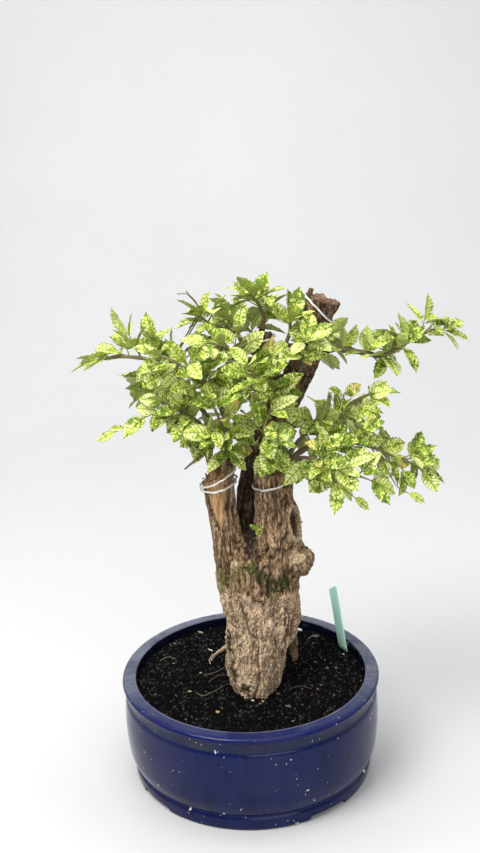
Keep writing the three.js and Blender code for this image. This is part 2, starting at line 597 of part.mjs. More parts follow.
function makeSoil() {
  const side = potInside().slice(1).map(([r, z]) => [r - FIT, z + FIT]);
  side[side.length - 2] = [side[side.length - 2][0], SOIL_LEVEL - SOIL_EDGE_DIP];
  side.pop();
  const skin = side.map(([r, z]) => ringAt(r, () => z));
  for (const r of SOIL_RINGS) {
    skin.push(ringAt(r, (x, y) => SOIL_LEVEL + unevenness(x, y)));
  }
  let soil = toSolid(skinRings(skin));
  for (const part of [TRUNK, SIDE_ROOT, PALE_ROOT]) soil = soil.subtract(toSolid(limb(part, FIT)));
  const screen = new THREE.BoxGeometry(MESH_SIDE + 2 * FIT, MESH_SIDE + 2 * FIT, 4 * MESH_THICKNESS);
  screen.translate(0, 0, FLOOR_UNDERSIDE + FLOOR_THICKNESS);
  return toGeometry(soil.subtract(toSolid(labelPlate(FIT))).subtract(toSolid(screen)));
}

function ringAt(radius, height) {
  return Array.from({ length: POT_SECTORS }, (_, i) => {
    const angle = 2 * Math.PI * i / POT_SECTORS;
    const [x, y] = [radius * Math.cos(angle), radius * Math.sin(angle)];
    return [x, y, height(x, y)];
  });
}

// Low waves of the soil's top, in two directions that don't repeat together
const SOIL_WAVE_HEIGHT = 0.5;

function unevenness(x, y) {
  const winding = Math.cos(0.31 * x + 1.7 * Math.cos(0.13 * y));
  const slanting = Math.cos(0.27 * y + 0.21 * x + 0.8);
  return SOIL_WAVE_HEIGHT * (winding + slanting);
}

// Wires: open coils that lie on the bark of a stub. Heights are shares of the stub's length, and the
// tilt raises a coil's right side and lowers its left
const WIRES = [
  { name: 'wire_left_stub', around: LEFT_STUB,
    from: 0.85, to: 1, tilt: [0, 0.093], start: 2.6, turns: 1.9 },
  { name: 'wire_right_stub', around: RIGHT_STUB,
    from: 0.87, to: 0.91, tilt: [0.01, 0.01], start: 2.9, turns: 0.62 },
  { name: 'wire_leaning_stem', around: LEANING_STEM,
    from: 0.955, to: 0.955, tilt: [-0.04, -0.04], start: 2, turns: 0.9 },
  { name: 'wire_back_stub', around: BACK_STUB,
    from: 0.9, to: 0.93, tilt: [0, 0], start: 2, turns: 0.9 },
];
const WIRE_STEPS_PER_TURN = 15;
const WIRE_SIDES = 4;
const WIRE_LIFT = WIRE_RADIUS + 3 * FIT;

function makeWire({ around, from, to, tilt, start, turns }) {
  const steps = Math.round(WIRE_STEPS_PER_TURN * turns);
  const points = [];
  for (let i = 0; i <= steps; i++) {
    const angle = start + 2 * Math.PI * turns * i / steps;
    const lean = THREE.MathUtils.lerp(...tilt, i / steps) * Math.cos(angle);
    const height = THREE.MathUtils.lerp(from, to, i / steps) + lean;
    points.push(limbSection(around, height, WIRE_LIFT)(angle));
  }
  return tube(points, WIRE_RADIUS, WIRE_RADIUS, WIRE_SIDES, steps);
}

// Assembly
const FINISHES = {
  pot: { color: 0x1b2a66, roughness: 0.22 },
  soil: { color: 0x17130f, roughness: 0.95 },
  trunk: { color: 0x8a6a4e, roughness: 0.9 },
  leaf: { color: 0x9db545, roughness: 0.55 },
  wire: { color: 0xb9bcbd, roughness: 0.35, metalness: 0.9 },
  label: { color: 0x9fd9bb, roughness: 0.5 },
  mesh: { color: 0x2a2a2a, roughness: 0.7 },
};

const group = new THREE.Group();

function addPart(name, geometry, finish) {
  const mesh = new THREE.Mesh(geometry, new THREE.MeshStandardMaterial(FINISHES[finish]));
  mesh.name = name;
  group.add(mesh);
  return mesh;
}

const trunk = makeTrunk();
addPart('pot', makePot(), 'pot');
addPart('drain_mesh', makeDrainMesh(), 'mesh');
addPart('soil', makeSoil(), 'soil');
addPart('trunk', toGeometry(trunk), 'trunk');
addPart('label', labelPlate(), 'label');
const wires = WIRES.map((wire) => addPart(wire.name, makeWire(wire), 'wire'));
const fixed = [boxed(trunk), ...wires.map((wire) => boxed(toSolid(wire.geometry.clone())))];
for (const { name, geometry } of dressSprays(fixed)) addPart(name, geometry, 'leaf');

const box = new THREE.Box3().setFromObject(group);
const middle = box.getCenter(new THREE.Vector3());
group.position.set(-middle.x, -middle.y, 0);

export default group;
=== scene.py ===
# %% [markdown]
# # A variegated bonsai in a blue glazed pot
#
# An old, cut-back trunk with young branches of toothed, cream-mottled leaves stands in a round glazed
# pot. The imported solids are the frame: they say where everything is. Each step below replaces one of
# them with a finer piece in the same place, or adds what is too small to be a solid: bark flakes,
# moss, crumbs of soil, veins and mottling.
#
# Lengths are written in millimetres from the pot's axis, with the table at height 0.

# %% Load the frame
import json
import math

import bmesh
import bpy
import numpy as np
from mathutils import Matrix, Quaternion, Vector, noise
from mathutils.bvhtree import BVHTree

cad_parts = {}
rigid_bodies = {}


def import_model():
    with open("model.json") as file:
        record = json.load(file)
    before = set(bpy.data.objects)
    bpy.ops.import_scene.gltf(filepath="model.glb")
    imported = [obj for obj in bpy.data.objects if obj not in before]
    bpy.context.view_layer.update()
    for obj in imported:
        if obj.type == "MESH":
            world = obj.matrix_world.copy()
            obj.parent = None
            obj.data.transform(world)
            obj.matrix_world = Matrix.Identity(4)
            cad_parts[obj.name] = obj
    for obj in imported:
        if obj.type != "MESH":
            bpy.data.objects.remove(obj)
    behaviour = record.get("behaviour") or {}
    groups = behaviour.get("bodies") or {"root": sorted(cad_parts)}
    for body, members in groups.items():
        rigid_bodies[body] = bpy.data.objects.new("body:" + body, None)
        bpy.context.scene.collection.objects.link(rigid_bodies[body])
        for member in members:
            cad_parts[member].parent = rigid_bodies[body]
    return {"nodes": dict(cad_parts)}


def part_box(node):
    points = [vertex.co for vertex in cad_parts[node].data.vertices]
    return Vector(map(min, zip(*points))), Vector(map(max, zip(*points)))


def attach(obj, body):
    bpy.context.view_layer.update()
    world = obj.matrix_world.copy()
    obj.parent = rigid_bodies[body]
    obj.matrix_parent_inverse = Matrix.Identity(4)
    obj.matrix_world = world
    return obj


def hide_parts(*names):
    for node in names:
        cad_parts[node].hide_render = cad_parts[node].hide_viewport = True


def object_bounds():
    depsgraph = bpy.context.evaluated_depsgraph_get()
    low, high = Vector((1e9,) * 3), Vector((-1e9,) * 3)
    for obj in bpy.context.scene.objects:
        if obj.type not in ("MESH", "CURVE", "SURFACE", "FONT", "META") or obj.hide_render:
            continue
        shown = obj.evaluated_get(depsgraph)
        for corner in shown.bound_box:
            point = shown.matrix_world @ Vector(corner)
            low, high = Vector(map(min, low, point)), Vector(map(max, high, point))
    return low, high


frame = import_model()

CAD_BOX = [list(corner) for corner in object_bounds()]
MM = 0.001
pot_low, pot_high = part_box("pot")
AXIS = Vector(((pot_low.x + pot_high.x) / 2, (pot_low.y + pot_high.y) / 2, 0))


def at(x, y, z):
    """A place in millimetres from the pot's axis, as metres in the frame."""
    return AXIS + MM * Vector((x, y, z))


def in_frame(points):
    """The same for a whole array of places."""
    return np.array(AXIS) + MM * np.asarray(points, float)


print("pot axis at", [round(v, 4) for v in AXIS], "frame box", CAD_BOX)

# %% [markdown]
# ## Camera
#
# The photograph was taken from a little above the crown, looking down about 18 degrees, with the
# picture tipped by 2 degrees. The camera's own axes are written out, so the tip is exact.

# %% Camera
def in_scene(name, data):
    """A new object that holds the data, linked to the scene."""
    item = bpy.data.objects.new(name, data)
    bpy.context.scene.collection.objects.link(item)
    return item


camera_data = bpy.data.cameras.new("camera")
camera_data.lens, camera_data.sensor_width, camera_data.clip_end = 50.64, 36, 30
camera = in_scene("camera", camera_data)
bpy.context.scene.camera = camera

PITCH, ROLL = math.radians(18.35), math.radians(-2)
EYE = at(-2, -1066, 713)
AHEAD = Vector((0, math.cos(PITCH), -math.sin(PITCH)))
level_up = Vector((0, math.sin(PITCH), math.cos(PITCH)))
RIGHT = Vector((1, 0, 0)) * math.cos(ROLL) + level_up * math.sin(ROLL)
ABOVE = Vector((-1, 0, 0)) * math.sin(ROLL) + level_up * math.cos(ROLL)
camera.matrix_world = Matrix.Translation(EYE) @ Matrix((RIGHT, ABOVE, -AHEAD)).transposed().to_4x4()

FOCAL_PIXELS, PICTURE_CENTRE = 1200, (240, 426.5)


def sight(u, v):
    """The direction from the camera through a pixel of the picture."""
    across, down = (u - PICTURE_CENTRE[0]) / FOCAL_PIXELS, (v - PICTURE_CENTRE[1]) / FOCAL_PIXELS
    return (AHEAD + RIGHT * across - ABOVE * down).normalized()


# %% [markdown]
# ## Stage and light
#
# The photograph has a white table, a white wall and soft light from all round, strongest from above.
# A sheet that sweeps up behind the pot gives both without a line between them. One large lamp above
# and to the left draws the soft shadow, a weaker one fills the front, a third brightens the wall,
# and the sky does the rest.

# %% Floor
def plain_mesh(name, points, faces, material=None):
    """A smooth-shaded mesh from metres in the frame."""
    mesh = bpy.data.meshes.new(name)
    mesh.from_pydata([tuple(p) for p in points], [], [tuple(f) for f in faces])
    mesh.validate()
    mesh.shade_smooth()
    if material:
        mesh.materials.append(material)
    return mesh


def plain_object(name, points, faces, material=None):
    return in_scene(name, plain_mesh(name, points, faces, material))


FRONT_EDGE, BEND_START, BEND_RADIUS, SHEET_TOP, HALF_WIDTH = -3.0, 0.9, 1.0, 3.5, 4.0  # in metres
sweep_line = [(FRONT_EDGE, 0.0), (BEND_START, 0.0)]
sweep_line += [(BEND_START + BEND_RADIUS * math.sin(a), BEND_RADIUS - BEND_RADIUS * math.cos(a))
               for a in np.radians(range(6, 91, 6))]
sweep_line += [(BEND_START + BEND_RADIUS, SHEET_TOP)]
sweep_points = [(x, y, z) for y, z in sweep_line for x in (-HALF_WIDTH, HALF_WIDTH)]
sweep_faces = [(2 * i, 2 * i + 1, 2 * i + 3, 2 * i + 2) for i in range(len(sweep_line) - 1)]
floor = plain_object("floor", sweep_points, sweep_faces)

# %% Lamps and sky
def soft_lamp(name, place, target, size, watts, glow):
    data = bpy.data.lights.new(name, "AREA")
    data.size, data.energy, data.color = size, watts, glow
    lamp = in_scene(name, data)
    lamp.location = place
    lamp.rotation_euler = (target - place).to_track_quat("-Z", "Y").to_euler()


MID_TREE, WALL = at(0, 0, 250), at(0, 1900, 1100)
soft_lamp("key_lamp", at(-700, -700, 1700), MID_TREE, 0.9, 32, (1, 0.985, 0.955))
soft_lamp("front_lamp", at(500, -1700, 1100), MID_TREE, 1.5, 16, (1, 0.99, 0.97))
soft_lamp("wall_lamp", at(0, 500, 2700), WALL, 1.6, 47, (1, 1, 1))
world = bpy.data.worlds.new("pale_room")
world.use_nodes = True
bpy.context.scene.world = world
bpy.context.scene.view_settings.view_transform = "Standard"

# %% [markdown]
# ## Words for building node trees
#
# Materials and geometry trees are both built from nodes. A few short helpers keep each recipe
# readable: every call adds one node, fills its sockets with numbers or links, and hands back an
# output to use in the next. Outputs can be added, subtracted and multiplied like numbers, and a
# finish is built like paint, coat over coat, each with the mask that says where it lies.

# %% Node helpers
class Out:
    """One output of a node. Sums and products of outputs add the nodes that work them out."""

    def __init__(self, nodes, socket):
        self.nodes, self.socket = nodes, socket

    def __add__(self, other):
        return self.nodes.maths("ADD", self, other)

    def __sub__(self, other):
        return self.nodes.maths("SUBTRACT", self, other)

    def __rsub__(self, other):
        return self.nodes.maths("SUBTRACT", other, self)

    def __mul__(self, other):
        return self.nodes.maths("MULTIPLY", self, other)

    def __abs__(self):
        return self.nodes.maths("ABSOLUTE", self)

    def span(self, low, high, to_low=0.0, to_high=1.0):
        """A soft step: to_low where the value is low, to_high where it is high."""
        sockets = {"Value": self, "From Min": low, "From Max": high, "To Min": to_low, "To Max": to_high}
        return self.nodes.add("ShaderNodeMapRange", sockets, interpolation_type="SMOOTHSTEP")


class Nodes:
    """Adds nodes to one tree."""

    def __init__(self, tree):
        self.tree = tree

    def fill(self, socket, value):
        """Gives a socket a link, a number or a colour."""
        value = getattr(value, "socket", value)
        if isinstance(value, bpy.types.NodeSocket):
            self.tree.links.new(value, socket)
        else:
            socket.default_value = value

    def add(self, kind, sockets=None, out=0, **settings):
        node = self.tree.nodes.new(kind)
        for key, value in settings.items():
            setattr(node, key, value)
        for key, value in (sockets or {}).items():
            self.fill(node.inputs[key], value)
        return node if out is None else Out(self, node.outputs[out])

    def maths(self, operation, *values):
        return self.add("ShaderNodeMath", dict(enumerate(values)), operation=operation)

    def most(self, first, *others):
        """The greatest of several values."""
        for other in others:
            first = self.maths("MAXIMUM", first, other)
        return first

    def vectors(self, operation, first, second):
        sockets = {0: first, 3 if operation == "SCALE" else 1: second}
        return self.add("ShaderNodeVectorMath", sockets, operation=operation)

    def split(self, vector):
        return [Out(self, part) for part in self.add("ShaderNodeSeparateXYZ", {0: vector}, out=None).outputs]

    def joined(self, x, y, z):
        return self.add("ShaderNodeCombineXYZ", {0: x, 1: y, 2: z})

    def mixed(self, share, first, second):
        """A blend of two colours; a bare colour is red, green and blue."""
        first, second = (c + (1.0,) if isinstance(c, tuple) else c for c in (first, second))
        return self.add("ShaderNodeMix", {0: share, 6: first, 7: second}, out=2, data_type="RGBA")

    def layered(self, colour, *coats):
        """Coats over a colour, one by one, each with the mask that says where it lies."""
        for mask, coat in coats:
            colour = self.mixed(mask, colour, coat)
        return colour

    def stretched(self, place, scale):
        return self.add("ShaderNodeMapping", {"Vector": place, "Scale": scale})

    def cloud(self, place, scale, detail=3.0, roughness=0.55, distortion=0.0, stretch=None, out=0):
        sockets = {"Vector": self.stretched(place, stretch) if stretch else place, "Scale": scale,
                   "Detail": detail, "Roughness": roughness, "Distortion": distortion}
        return self.add("ShaderNodeTexNoise", sockets, out=out)

    def cells(self, place, scale, feature="F1", out="Distance"):
        return self.add("ShaderNodeTexVoronoi", {"Vector": place, "Scale": scale}, out=out, feature=feature)

    def attribute(self, name, out="Fac"):
        return self.add("ShaderNodeAttribute", out=out, attribute_name=name)

    def here(self):
        return self.add("ShaderNodeTexCoord", out="Object")

    def finish(self, colour, roughness, normal=None, specular=0.5, **others):
        """Fills the surface shader's own sockets."""
        sockets = {"Base Color": colour, "Roughness": roughness, "Normal": normal,
                   "Specular IOR Level": specular}
        sockets.update({key.replace("_", " "): value for key, value in others.items()})
        shader = self.tree.nodes["Principled BSDF"]
        for key, value in sockets.items():
            if value is not None:
                self.fill(shader.inputs[key], value)


def new_material(name):
    material = bpy.data.materials.new(name)
    material.use_nodes = True
    return material, Nodes(material.node_tree)


# %% [markdown]
# ## Effects that several finishes share
#
# Soft patches make glaze, bark, leaves and plastic uneven, and a fine grain breaks up every surface
# that is seen from close by. Each is a shader group, built once, that puts out only a mask or a
# height.

# %% Shared shader groups
def shader_group(name, inputs, output):
    group = bpy.data.node_groups.new(name, "ShaderNodeTree")
    group.interface.new_socket("Place", in_out="INPUT", socket_type="NodeSocketVector")
    for socket, value in inputs.items():
        made = group.interface.new_socket(socket, in_out="INPUT", socket_type="NodeSocketFloat")
        made.default_value = value
    group.interface.new_socket(output, in_out="OUTPUT", socket_type="NodeSocketFloat")
    nodes = Nodes(group)
    given = {s.name: Out(nodes, s) for s in group.nodes.new("NodeGroupInput").outputs}
    return group, nodes, given, group.nodes.new("NodeGroupOutput").inputs[output]


patch_group, nodes, given, result = shader_group(
    "soft_patches", {"Scale": 100.0, "Threshold": 0.5, "Softness": 0.08}, "Mask")
patch_cloud = nodes.cloud(given["Place"], given["Scale"], 5.0, 0.62)
threshold, softness = given["Threshold"], given["Softness"]
nodes.fill(result, patch_cloud.span(threshold - softness, threshold + softness))

grain_group, nodes, given, result = shader_group("fine_grain", {"Scale": 1000.0}, "Height")
grain_coarse = nodes.cloud(given["Place"], given["Scale"], 4.0, 0.6)
nodes.fill(result, grain_coarse + nodes.cells(given["Place"], given["Scale"]) * 0.3)


def patches(place, scale, threshold=0.5, softness=0.08):
    sockets = {"Place": place, "Scale": scale, "Threshold": threshold, "Softness": softness}
    return place.nodes.add("ShaderNodeGroup", sockets, node_tree=patch_group)


def fine_grain(place, scale):
    return place.nodes.add("ShaderNodeGroup", {"Place": place, "Scale": scale}, node_tree=grain_group)


def bumped(height, depth_mm, strength):
    sockets = {"Height": height, "Distance": depth_mm * MM, "Strength": strength}
    return height.nodes.add("ShaderNodeBump", sockets)


# %% [markdown]
# The room is bright behind and above the pot and dimmer behind the camera, which is why the front
# of the glaze looks so dark. The floor is plain and pale.

# %% Room light and floor finish
nodes = Nodes(world.node_tree)
facing = nodes.split(nodes.add("ShaderNodeTexCoord", out="Generated"))[1]
sky = world.node_tree.nodes["Background"].inputs
nodes.fill(sky["Color"], nodes.mixed(facing.span(-0.8, 0.25), (0.30, 0.31, 0.33), (0.97, 0.98, 1.0)))
nodes.fill(sky["Strength"], 0.72)

paper, nodes = new_material("pale_floor")
faint = patches(nodes.here(), 2.2, 0.5, 0.3)
nodes.finish(nodes.mixed(faint, (0.575, 0.578, 0.582), (0.605, 0.607, 0.61)), 0.5, specular=0.25)
floor.data.materials.append(paper)

# %% [markdown]
# ## Pot
#
# The pot was thrown on a wheel, so a turned profile is the natural way to make it: a flat rim that
# stands proud of a narrow neck, a full belly, a groove and a foot. Every corner of the profile has
# its own rounding, because glaze never leaves a corner sharp. The four gaps in the foot ring are cut
# afterwards.

# %% Pot profile
POT_PROFILE = [  # radius, height, rounding of the corner
    (9, 15, 1), (98, 15, 6), (113.4, 24, 9), (114.2, 98, 3), (114.8, 103.6, 1.2), (116.4, 104, 0.8),
    (124.6, 103.7, 2), (128.0, 102.3, 1.8), (128.4, 98.9, 1.6), (125.0, 96.8, 1.2), (124.3, 93.8, 2),
    (124.2, 87.2, 2), (126.2, 83.2, 3), (127.4, 62, 18), (126.9, 46, 18), (125.2, 29, 10),
    (121.6, 19.2, 2.2), (119.0, 16.4, 1.2), (118.8, 14.6, 1.0), (120.6, 12.2, 1.6), (119.6, 1.2, 1.4),
    (117.6, 0, 1.0), (108.4, 0, 1.0), (106, 7, 1.5), (9, 7, 1),
]


def rounded_profile(corners, steps=4):
    """Each corner of a closed profile as a short curve."""
    line = []
    for k, (r, z, radius) in enumerate(corners):
        here = np.array((r, z), float)
        back = np.array(corners[k - 1][:2], float) - here
        on = np.array(corners[(k + 1) % len(corners)][:2], float) - here
        cut = min(radius, 0.48 * np.linalg.norm(back), 0.48 * np.linalg.norm(on))
        first, last = here + back / np.linalg.norm(back) * cut, here + on / np.linalg.norm(on) * cut
        for t in np.arange(steps + 1) / steps:
            line.append((1 - t) ** 2 * first + 2 * t * (1 - t) * here + t ** 2 * last)
    return line


def turned_body(profile, sectors, wobble):
    """A profile turned on the wheel, very slightly out of round."""
    points, faces, count = [], [], len(profile)
    for i in range(sectors):
        angle = 2 * math.pi * i / sectors
        give = 1 - wobble * (1 + math.cos(2 * angle + 0.6) + 0.4 * math.cos(5 * angle)) / 2
        points += [(r * give * math.cos(angle), r * give * math.sin(angle), z) for r, z in profile]
        for k in range(count):
            a, b = i * count + k, i * count + (k + 1) % count
            shift = ((i + 1) % sectors - i) * count
            faces.append((a, b, b + shift, a + shift))
    return points, faces


# %% Cut the foot and place the pot
def outward_faces(mesh):
    shell = bmesh.new()
    shell.from_mesh(mesh)
    bmesh.ops.recalc_face_normals(shell, faces=shell.faces)
    shell.to_mesh(mesh)
    shell.free()


def baked(item):
    """The object's evaluated mesh, as a plain mesh; the object itself is removed."""
    bpy.context.view_layer.update()
    graph = bpy.context.evaluated_depsgraph_get()
    mesh = bpy.data.meshes.new_from_object(item.evaluated_get(graph), preserve_all_data_layers=True,
                                           depsgraph=graph)
    bpy.data.objects.remove(item)
    return mesh


def creased(mesh, degrees):
    """Smooth shading, but for edges that turn more sharply than this."""
    mesh.shade_smooth()
    mesh.set_sharp_from_angle(angle=math.radians(degrees))


def painted(mesh, material):
    mesh.materials.clear()
    mesh.materials.append(material)


def piece(name, mesh, slot, *nodes):
    """A finished piece: it rides on the body and may stand for CAD nodes. The slot is not used."""
    mesh.name = name
    item = in_scene(name, mesh)
    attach(item, "root")
    if nodes:
        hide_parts(*nodes)
    print(f"{name}: {sum(len(p.vertices) - 2 for p in mesh.polygons)} triangles")


WHEEL_SECTORS, OUT_OF_ROUND = 160, 0.0012
pot_points, pot_faces = turned_body(rounded_profile(POT_PROFILE), WHEEL_SECTORS, OUT_OF_ROUND)
pot_blank = plain_object("pot_blank", in_frame(pot_points), pot_faces)
outward_faces(pot_blank.data)
cutters = []
for turn in (36, 126):
    half, height, fillet, below, reach = 22, 5.5, 2.5, -3, 160
    arch = [(-half, below), (half, below), (half, height - fillet), (half - fillet, height),
            (-half + fillet, height), (-half, height - fillet)]
    spin = Matrix.Rotation(math.radians(turn), 3, "Z")
    ring = [in_frame(spin @ Vector((end, y, z))) for end in (-reach, reach) for y, z in arch]
    sides = [(i, (i + 1) % 6, 6 + (i + 1) % 6, 6 + i) for i in range(6)]
    cutter = plain_object("foot_gap", ring, sides + [tuple(range(5, -1, -1)), tuple(range(6, 12))])
    outward_faces(cutter.data)
    cut = pot_blank.modifiers.new("foot gap", "BOOLEAN")
    cut.object, cut.operation, cut.solver = cutter, "DIFFERENCE", "EXACT"
    cutters.append(cutter)
pot_mesh = baked(pot_blank)
for cutter in cutters:
    bpy.data.objects.remove(cutter)
creased(pot_mesh, 38)

# %% [markdown]
# The glaze is a deep cobalt with uneven runs, and it pools on the lip, which is also painted darker at
# the front: a painted dark reflection. The rim's flat top is worn matt and grey, and painted lighter
# towards the back and sides: a painted reflection of the bright room. A greyer, lighter band runs round
# the neck, the foot stands on bare clay, and watering has left small white specks of lime, mostly on
# the belly. Height and radius tell the finish where it is.

# %% Pot glaze
glaze, nodes = new_material("cobalt_glaze")
place = nodes.vectors("SUBTRACT", nodes.here(), tuple(AXIS))
x, y, z = nodes.split(place)
radius = nodes.maths("SQRT", x * x + y * y)
runs = nodes.cloud(place, 45, 4, 0.6, 0.6, stretch=(1, 1, 0.25))
blue = nodes.mixed(runs.span(0.35, 0.7), (0.0016, 0.0052, 0.045), (0.0050, 0.0120, 0.074))
# Painted reflection: beyond its matt grey wear, the rim's top is painted lighter at the back and sides, where
# it faces the bright room.
worn_and_sheen_side = nodes.most(radius.span(0.1185, 0.1155), y.span(-0.095, -0.015, 0.12, 1.0))
rim_wear_and_sheen = z.span(0.1016, 0.1032) * worn_and_sheen_side * patches(place, 40, 0.40, 0.30)
jitter = nodes.cloud(place, 420.0, 2.0, 0.5, out="Color")
lime_place = nodes.stretched(nodes.vectors("ADD", place, nodes.vectors("SCALE", jitter, 0.0062)), (1, 1, 0.7))
lime_pick = nodes.split(nodes.cells(lime_place, 190, out="Color"))[0]
lime_size = lime_pick.span(0.95, 1.0, 0.0, 0.38) * z.span(0.0995, 0.0975, 0.55, 1.0)
tiny_size = nodes.split(nodes.cells(place, 480, out="Color"))[1].span(0.95, 1.0, 0.0, 0.25)
specks = nodes.most(nodes.maths("LESS_THAN", nodes.cells(lime_place, 190), lime_size),
                    nodes.maths("LESS_THAN", nodes.cells(place, 480), tiny_size))
bare = z.span(0.0012, 0.0004) * radius.span(0.09, 0.1)
colour = nodes.layered(
    blue,
    (patches(place, 18, 0.55, 0.12), (0.010, 0.012, 0.064)),
    # Pooled glaze on the lip, painted darker and bluer at the front only: a painted dark reflection.
    (z.span(0.0965, 0.0985) * y.span(-0.02, -0.085) * 0.7, (0.0022, 0.0060, 0.080)),  # pooled glaze, painted shade at the front
    (rim_wear_and_sheen * 0.95, (0.125, 0.140, 0.185)),
    (z.span(0.0845, 0.088) * z.span(0.0965, 0.094) * patches(place, 24, 0.46, 0.2),
     (0.022, 0.028, 0.050)),  # greyer, lighter band round the neck
    (radius.span(0.1152, 0.1146) * z.span(0.1035, 0.1025) * 0.92, (0.0035, 0.005, 0.013)),  # inner wall
    (specks, (0.62, 0.63, 0.60)),
    (bare, nodes.mixed(nodes.cloud(place, 300), (0.20, 0.13, 0.09), (0.30, 0.21, 0.15))))
smears = nodes.cloud(place, 30, 4).span(0.3, 0.8, 0.10, 0.22)
gloss = nodes.most(rim_wear_and_sheen * 0.42, specks * 0.6, smears, bare * 0.8)
skin = nodes.cloud(place, 55, 3, 0.5) + nodes.cloud(place, 800, 2) * 0.08 + specks * 0.7
nodes.finish(colour, gloss, bumped(skin, 0.45, 0.5), 0.21)
painted(pot_mesh, glaze)
piece("glazed_pot", pot_mesh, "pot", "pot")

# %% [markdown]
# ## Screen over the drain hole
#
# A square of plastic mesh keeps the soil in. Its solid already has the right shape, so it only gets
# a finish: black plastic, dusty with soil.

# %% Drain screen finish
screen_plastic, nodes = new_material("screen_plastic")
place = nodes.here()
soiled = patches(place, 260, 0.5, 0.15)
nodes.finish(nodes.mixed(soiled, (0.018, 0.018, 0.019), (0.06, 0.045, 0.03)), soiled.span(0, 1, 0.4, 0.85),
             bumped(fine_grain(place, 1800), 0.1, 0.4))
painted(frame["nodes"]["drain_mesh"].data, screen_plastic)

# %% [markdown]
# ## Trunk: the grown form
#
# A trunk is a bundle of limbs that grew into one another. Each limb is a row of oval sections along
# a smooth line, with long waves of bark round it. All limbs are thrown together as overlapping tubes
# and a voxel remesh melts them into one skin, as growth did.

# %% Smooth lines and limb sections
def smooth_point(points, t, tension):
    """A point at share t of a smooth line through the points."""
    points = np.asarray(points, float)
    last = len(points) - 1
    s = min(max(t, 0.0), 1.0) * last
    i = min(int(s), last - 1)
    u = s - i
    p1, p2 = points[i], points[i + 1]
    p0 = points[i - 1] if i > 0 else 2 * p1 - p2
    p3 = points[i + 2] if i + 2 <= last else 2 * p2 - p1
    m1, m2 = tension * (p2 - p0), tension * (p3 - p1)
    return ((2 * u ** 3 - 3 * u ** 2 + 1) * p1 + (u ** 3 - 2 * u ** 2 + u) * m1
            + (-2 * u ** 3 + 3 * u ** 2) * p2 + (u ** 3 - u ** 2) * m2)


def smooth_line(points, count, tension):
    return [smooth_point(points, i / count, tension) for i in range(count + 1)]


def unit(vector):
    return vector / np.linalg.norm(vector)


def smooth_heading(points, t, tension, step=1e-3):
    on, back = (smooth_point(points, at_share, tension) for at_share in (min(t + step, 1), max(t - step, 0)))
    return unit(on - back)


BARK_WAVES = [  # how many round the limb, size, drift along it, phase
    (5, 0.045, 0.7, 0.42), (9, 0.021, 2.1, 0.5), (13, -0.034, 4.4, 0.3), (3, 0.21, 1.3, 0.22)]
LIMB_TENSION = 0.4


def bark_wave(angle, height, seed):
    """Long waves of bark round a limb, for the melted trunk's coarse shape."""
    return sum(size * math.cos(count * angle + along * height + phase * (1 + seed))
               for count, along, phase, size in BARK_WAVES)


def middle(limb):
    """The places that the limb's line passes."""
    return [station[:3] for station in limb["stations"]]


def limb_section(limb, t, grow=0.0):
    """The skin of a limb at share t of its length, as a rule from angle to point."""
    line = middle(limb)
    sizes = [(s[3], s[4] if len(s) > 4 else s[3]) for s in limb["stations"]]
    width, depth_size = smooth_point(sizes, t, LIMB_TENSION)
    ahead = smooth_heading(line, min(t, 1), LIMB_TENSION)
    side = unit(np.array((1.0, 0, 0)) - ahead * ahead[0])
    depth = np.cross(ahead, side)
    reach = np.linalg.norm(np.subtract(line[-1], line[-2])) * (len(line) - 1)
    centre = smooth_point(line, t, LIMB_TENSION) + ahead * max(t - 1, 0) * reach

    def point(angle, slant=0.0):
        height = max(centre[2], limb.get("from", -1e9))
        rise = limb.get("relief", 0) * bark_wave(angle, height, limb.get("seed", 0)) + grow
        narrow = 1 - limb.get("wedge", 0) * max(0.0, -math.sin(angle)) ** 2
        across = math.cos(angle) * (width + rise) * narrow
        return (centre + side * across + ahead * slant * across
                + depth * math.sin(angle) * (depth_size + rise))
    return point


# %% [markdown]
# The stations below are the trunk's measurements: place, half width and half depth. The stout base
# divides into two sawn stubs; between and behind them an older stem leans to the right and forks
# once more. Two roots lie on the soil.

# %% Limbs
TRUNK = {"relief": 1.7, "wedge": 0.2, "from": 97, "stations": [
    (4, -13, 76, 24, 34), (4, -13, 96, 24.5, 34), (5, -13, 112, 29, 34), (6, -12, 130, 30, 33),
    (8, -12, 148, 32, 32), (12, -12, 160, 36, 32), (13.5, -12, 172, 37.5, 32), (12, -12, 186, 38, 32),
    (11, -11, 201, 40, 31.5), (11, -11, 217, 41, 31), (11, -10, 232, 41, 30), (10, -9, 246, 34, 24),
    (9, -6, 257, 22, 14)]}
LEFT_STUB = {"relief": 1.1, "seed": 1, "slant": 0.6, "stations": [
    (-8, -10, 196, 14, 16), (-14, -10, 228, 16, 18), (-18.5, -9, 256, 14.5, 16.5),
    (-21.5, -9, 280, 13.8, 15.5), (-23.3, -9, 298, 14.6, 15.2), (-24.3, -9, 318, 15.2, 15.4)]}
RIGHT_STUB = {"relief": 1.2, "seed": 2, "slant": -0.12, "stations": [
    (26, -13, 200, 23, 22), (29, -13, 228, 24, 22), (30, -14, 254, 22.5, 21), (30, -14, 274, 21.5, 20.5),
    (28, -14, 289, 18.5, 19), (28, -14, 304, 18, 18), (26, -14, 320, 17, 17)]}
LEANING_STEM = {"relief": 1, "seed": 3, "stations": [
    (3, 10, 238, 13, 12), (6, 13, 265, 14, 12), (8, 15, 290, 14, 13), (15, 16, 320, 14, 13),
    (25, 16, 350, 14, 13.5), (39, 14, 376, 14.5, 13.5), (50, 11, 398, 13.5, 13), (59, 9, 415, 13, 13),
    (66, 8, 436, 14, 13.5), (70, 8, 457, 14.5, 14), (77, 8, 477, 15.5, 14)]}
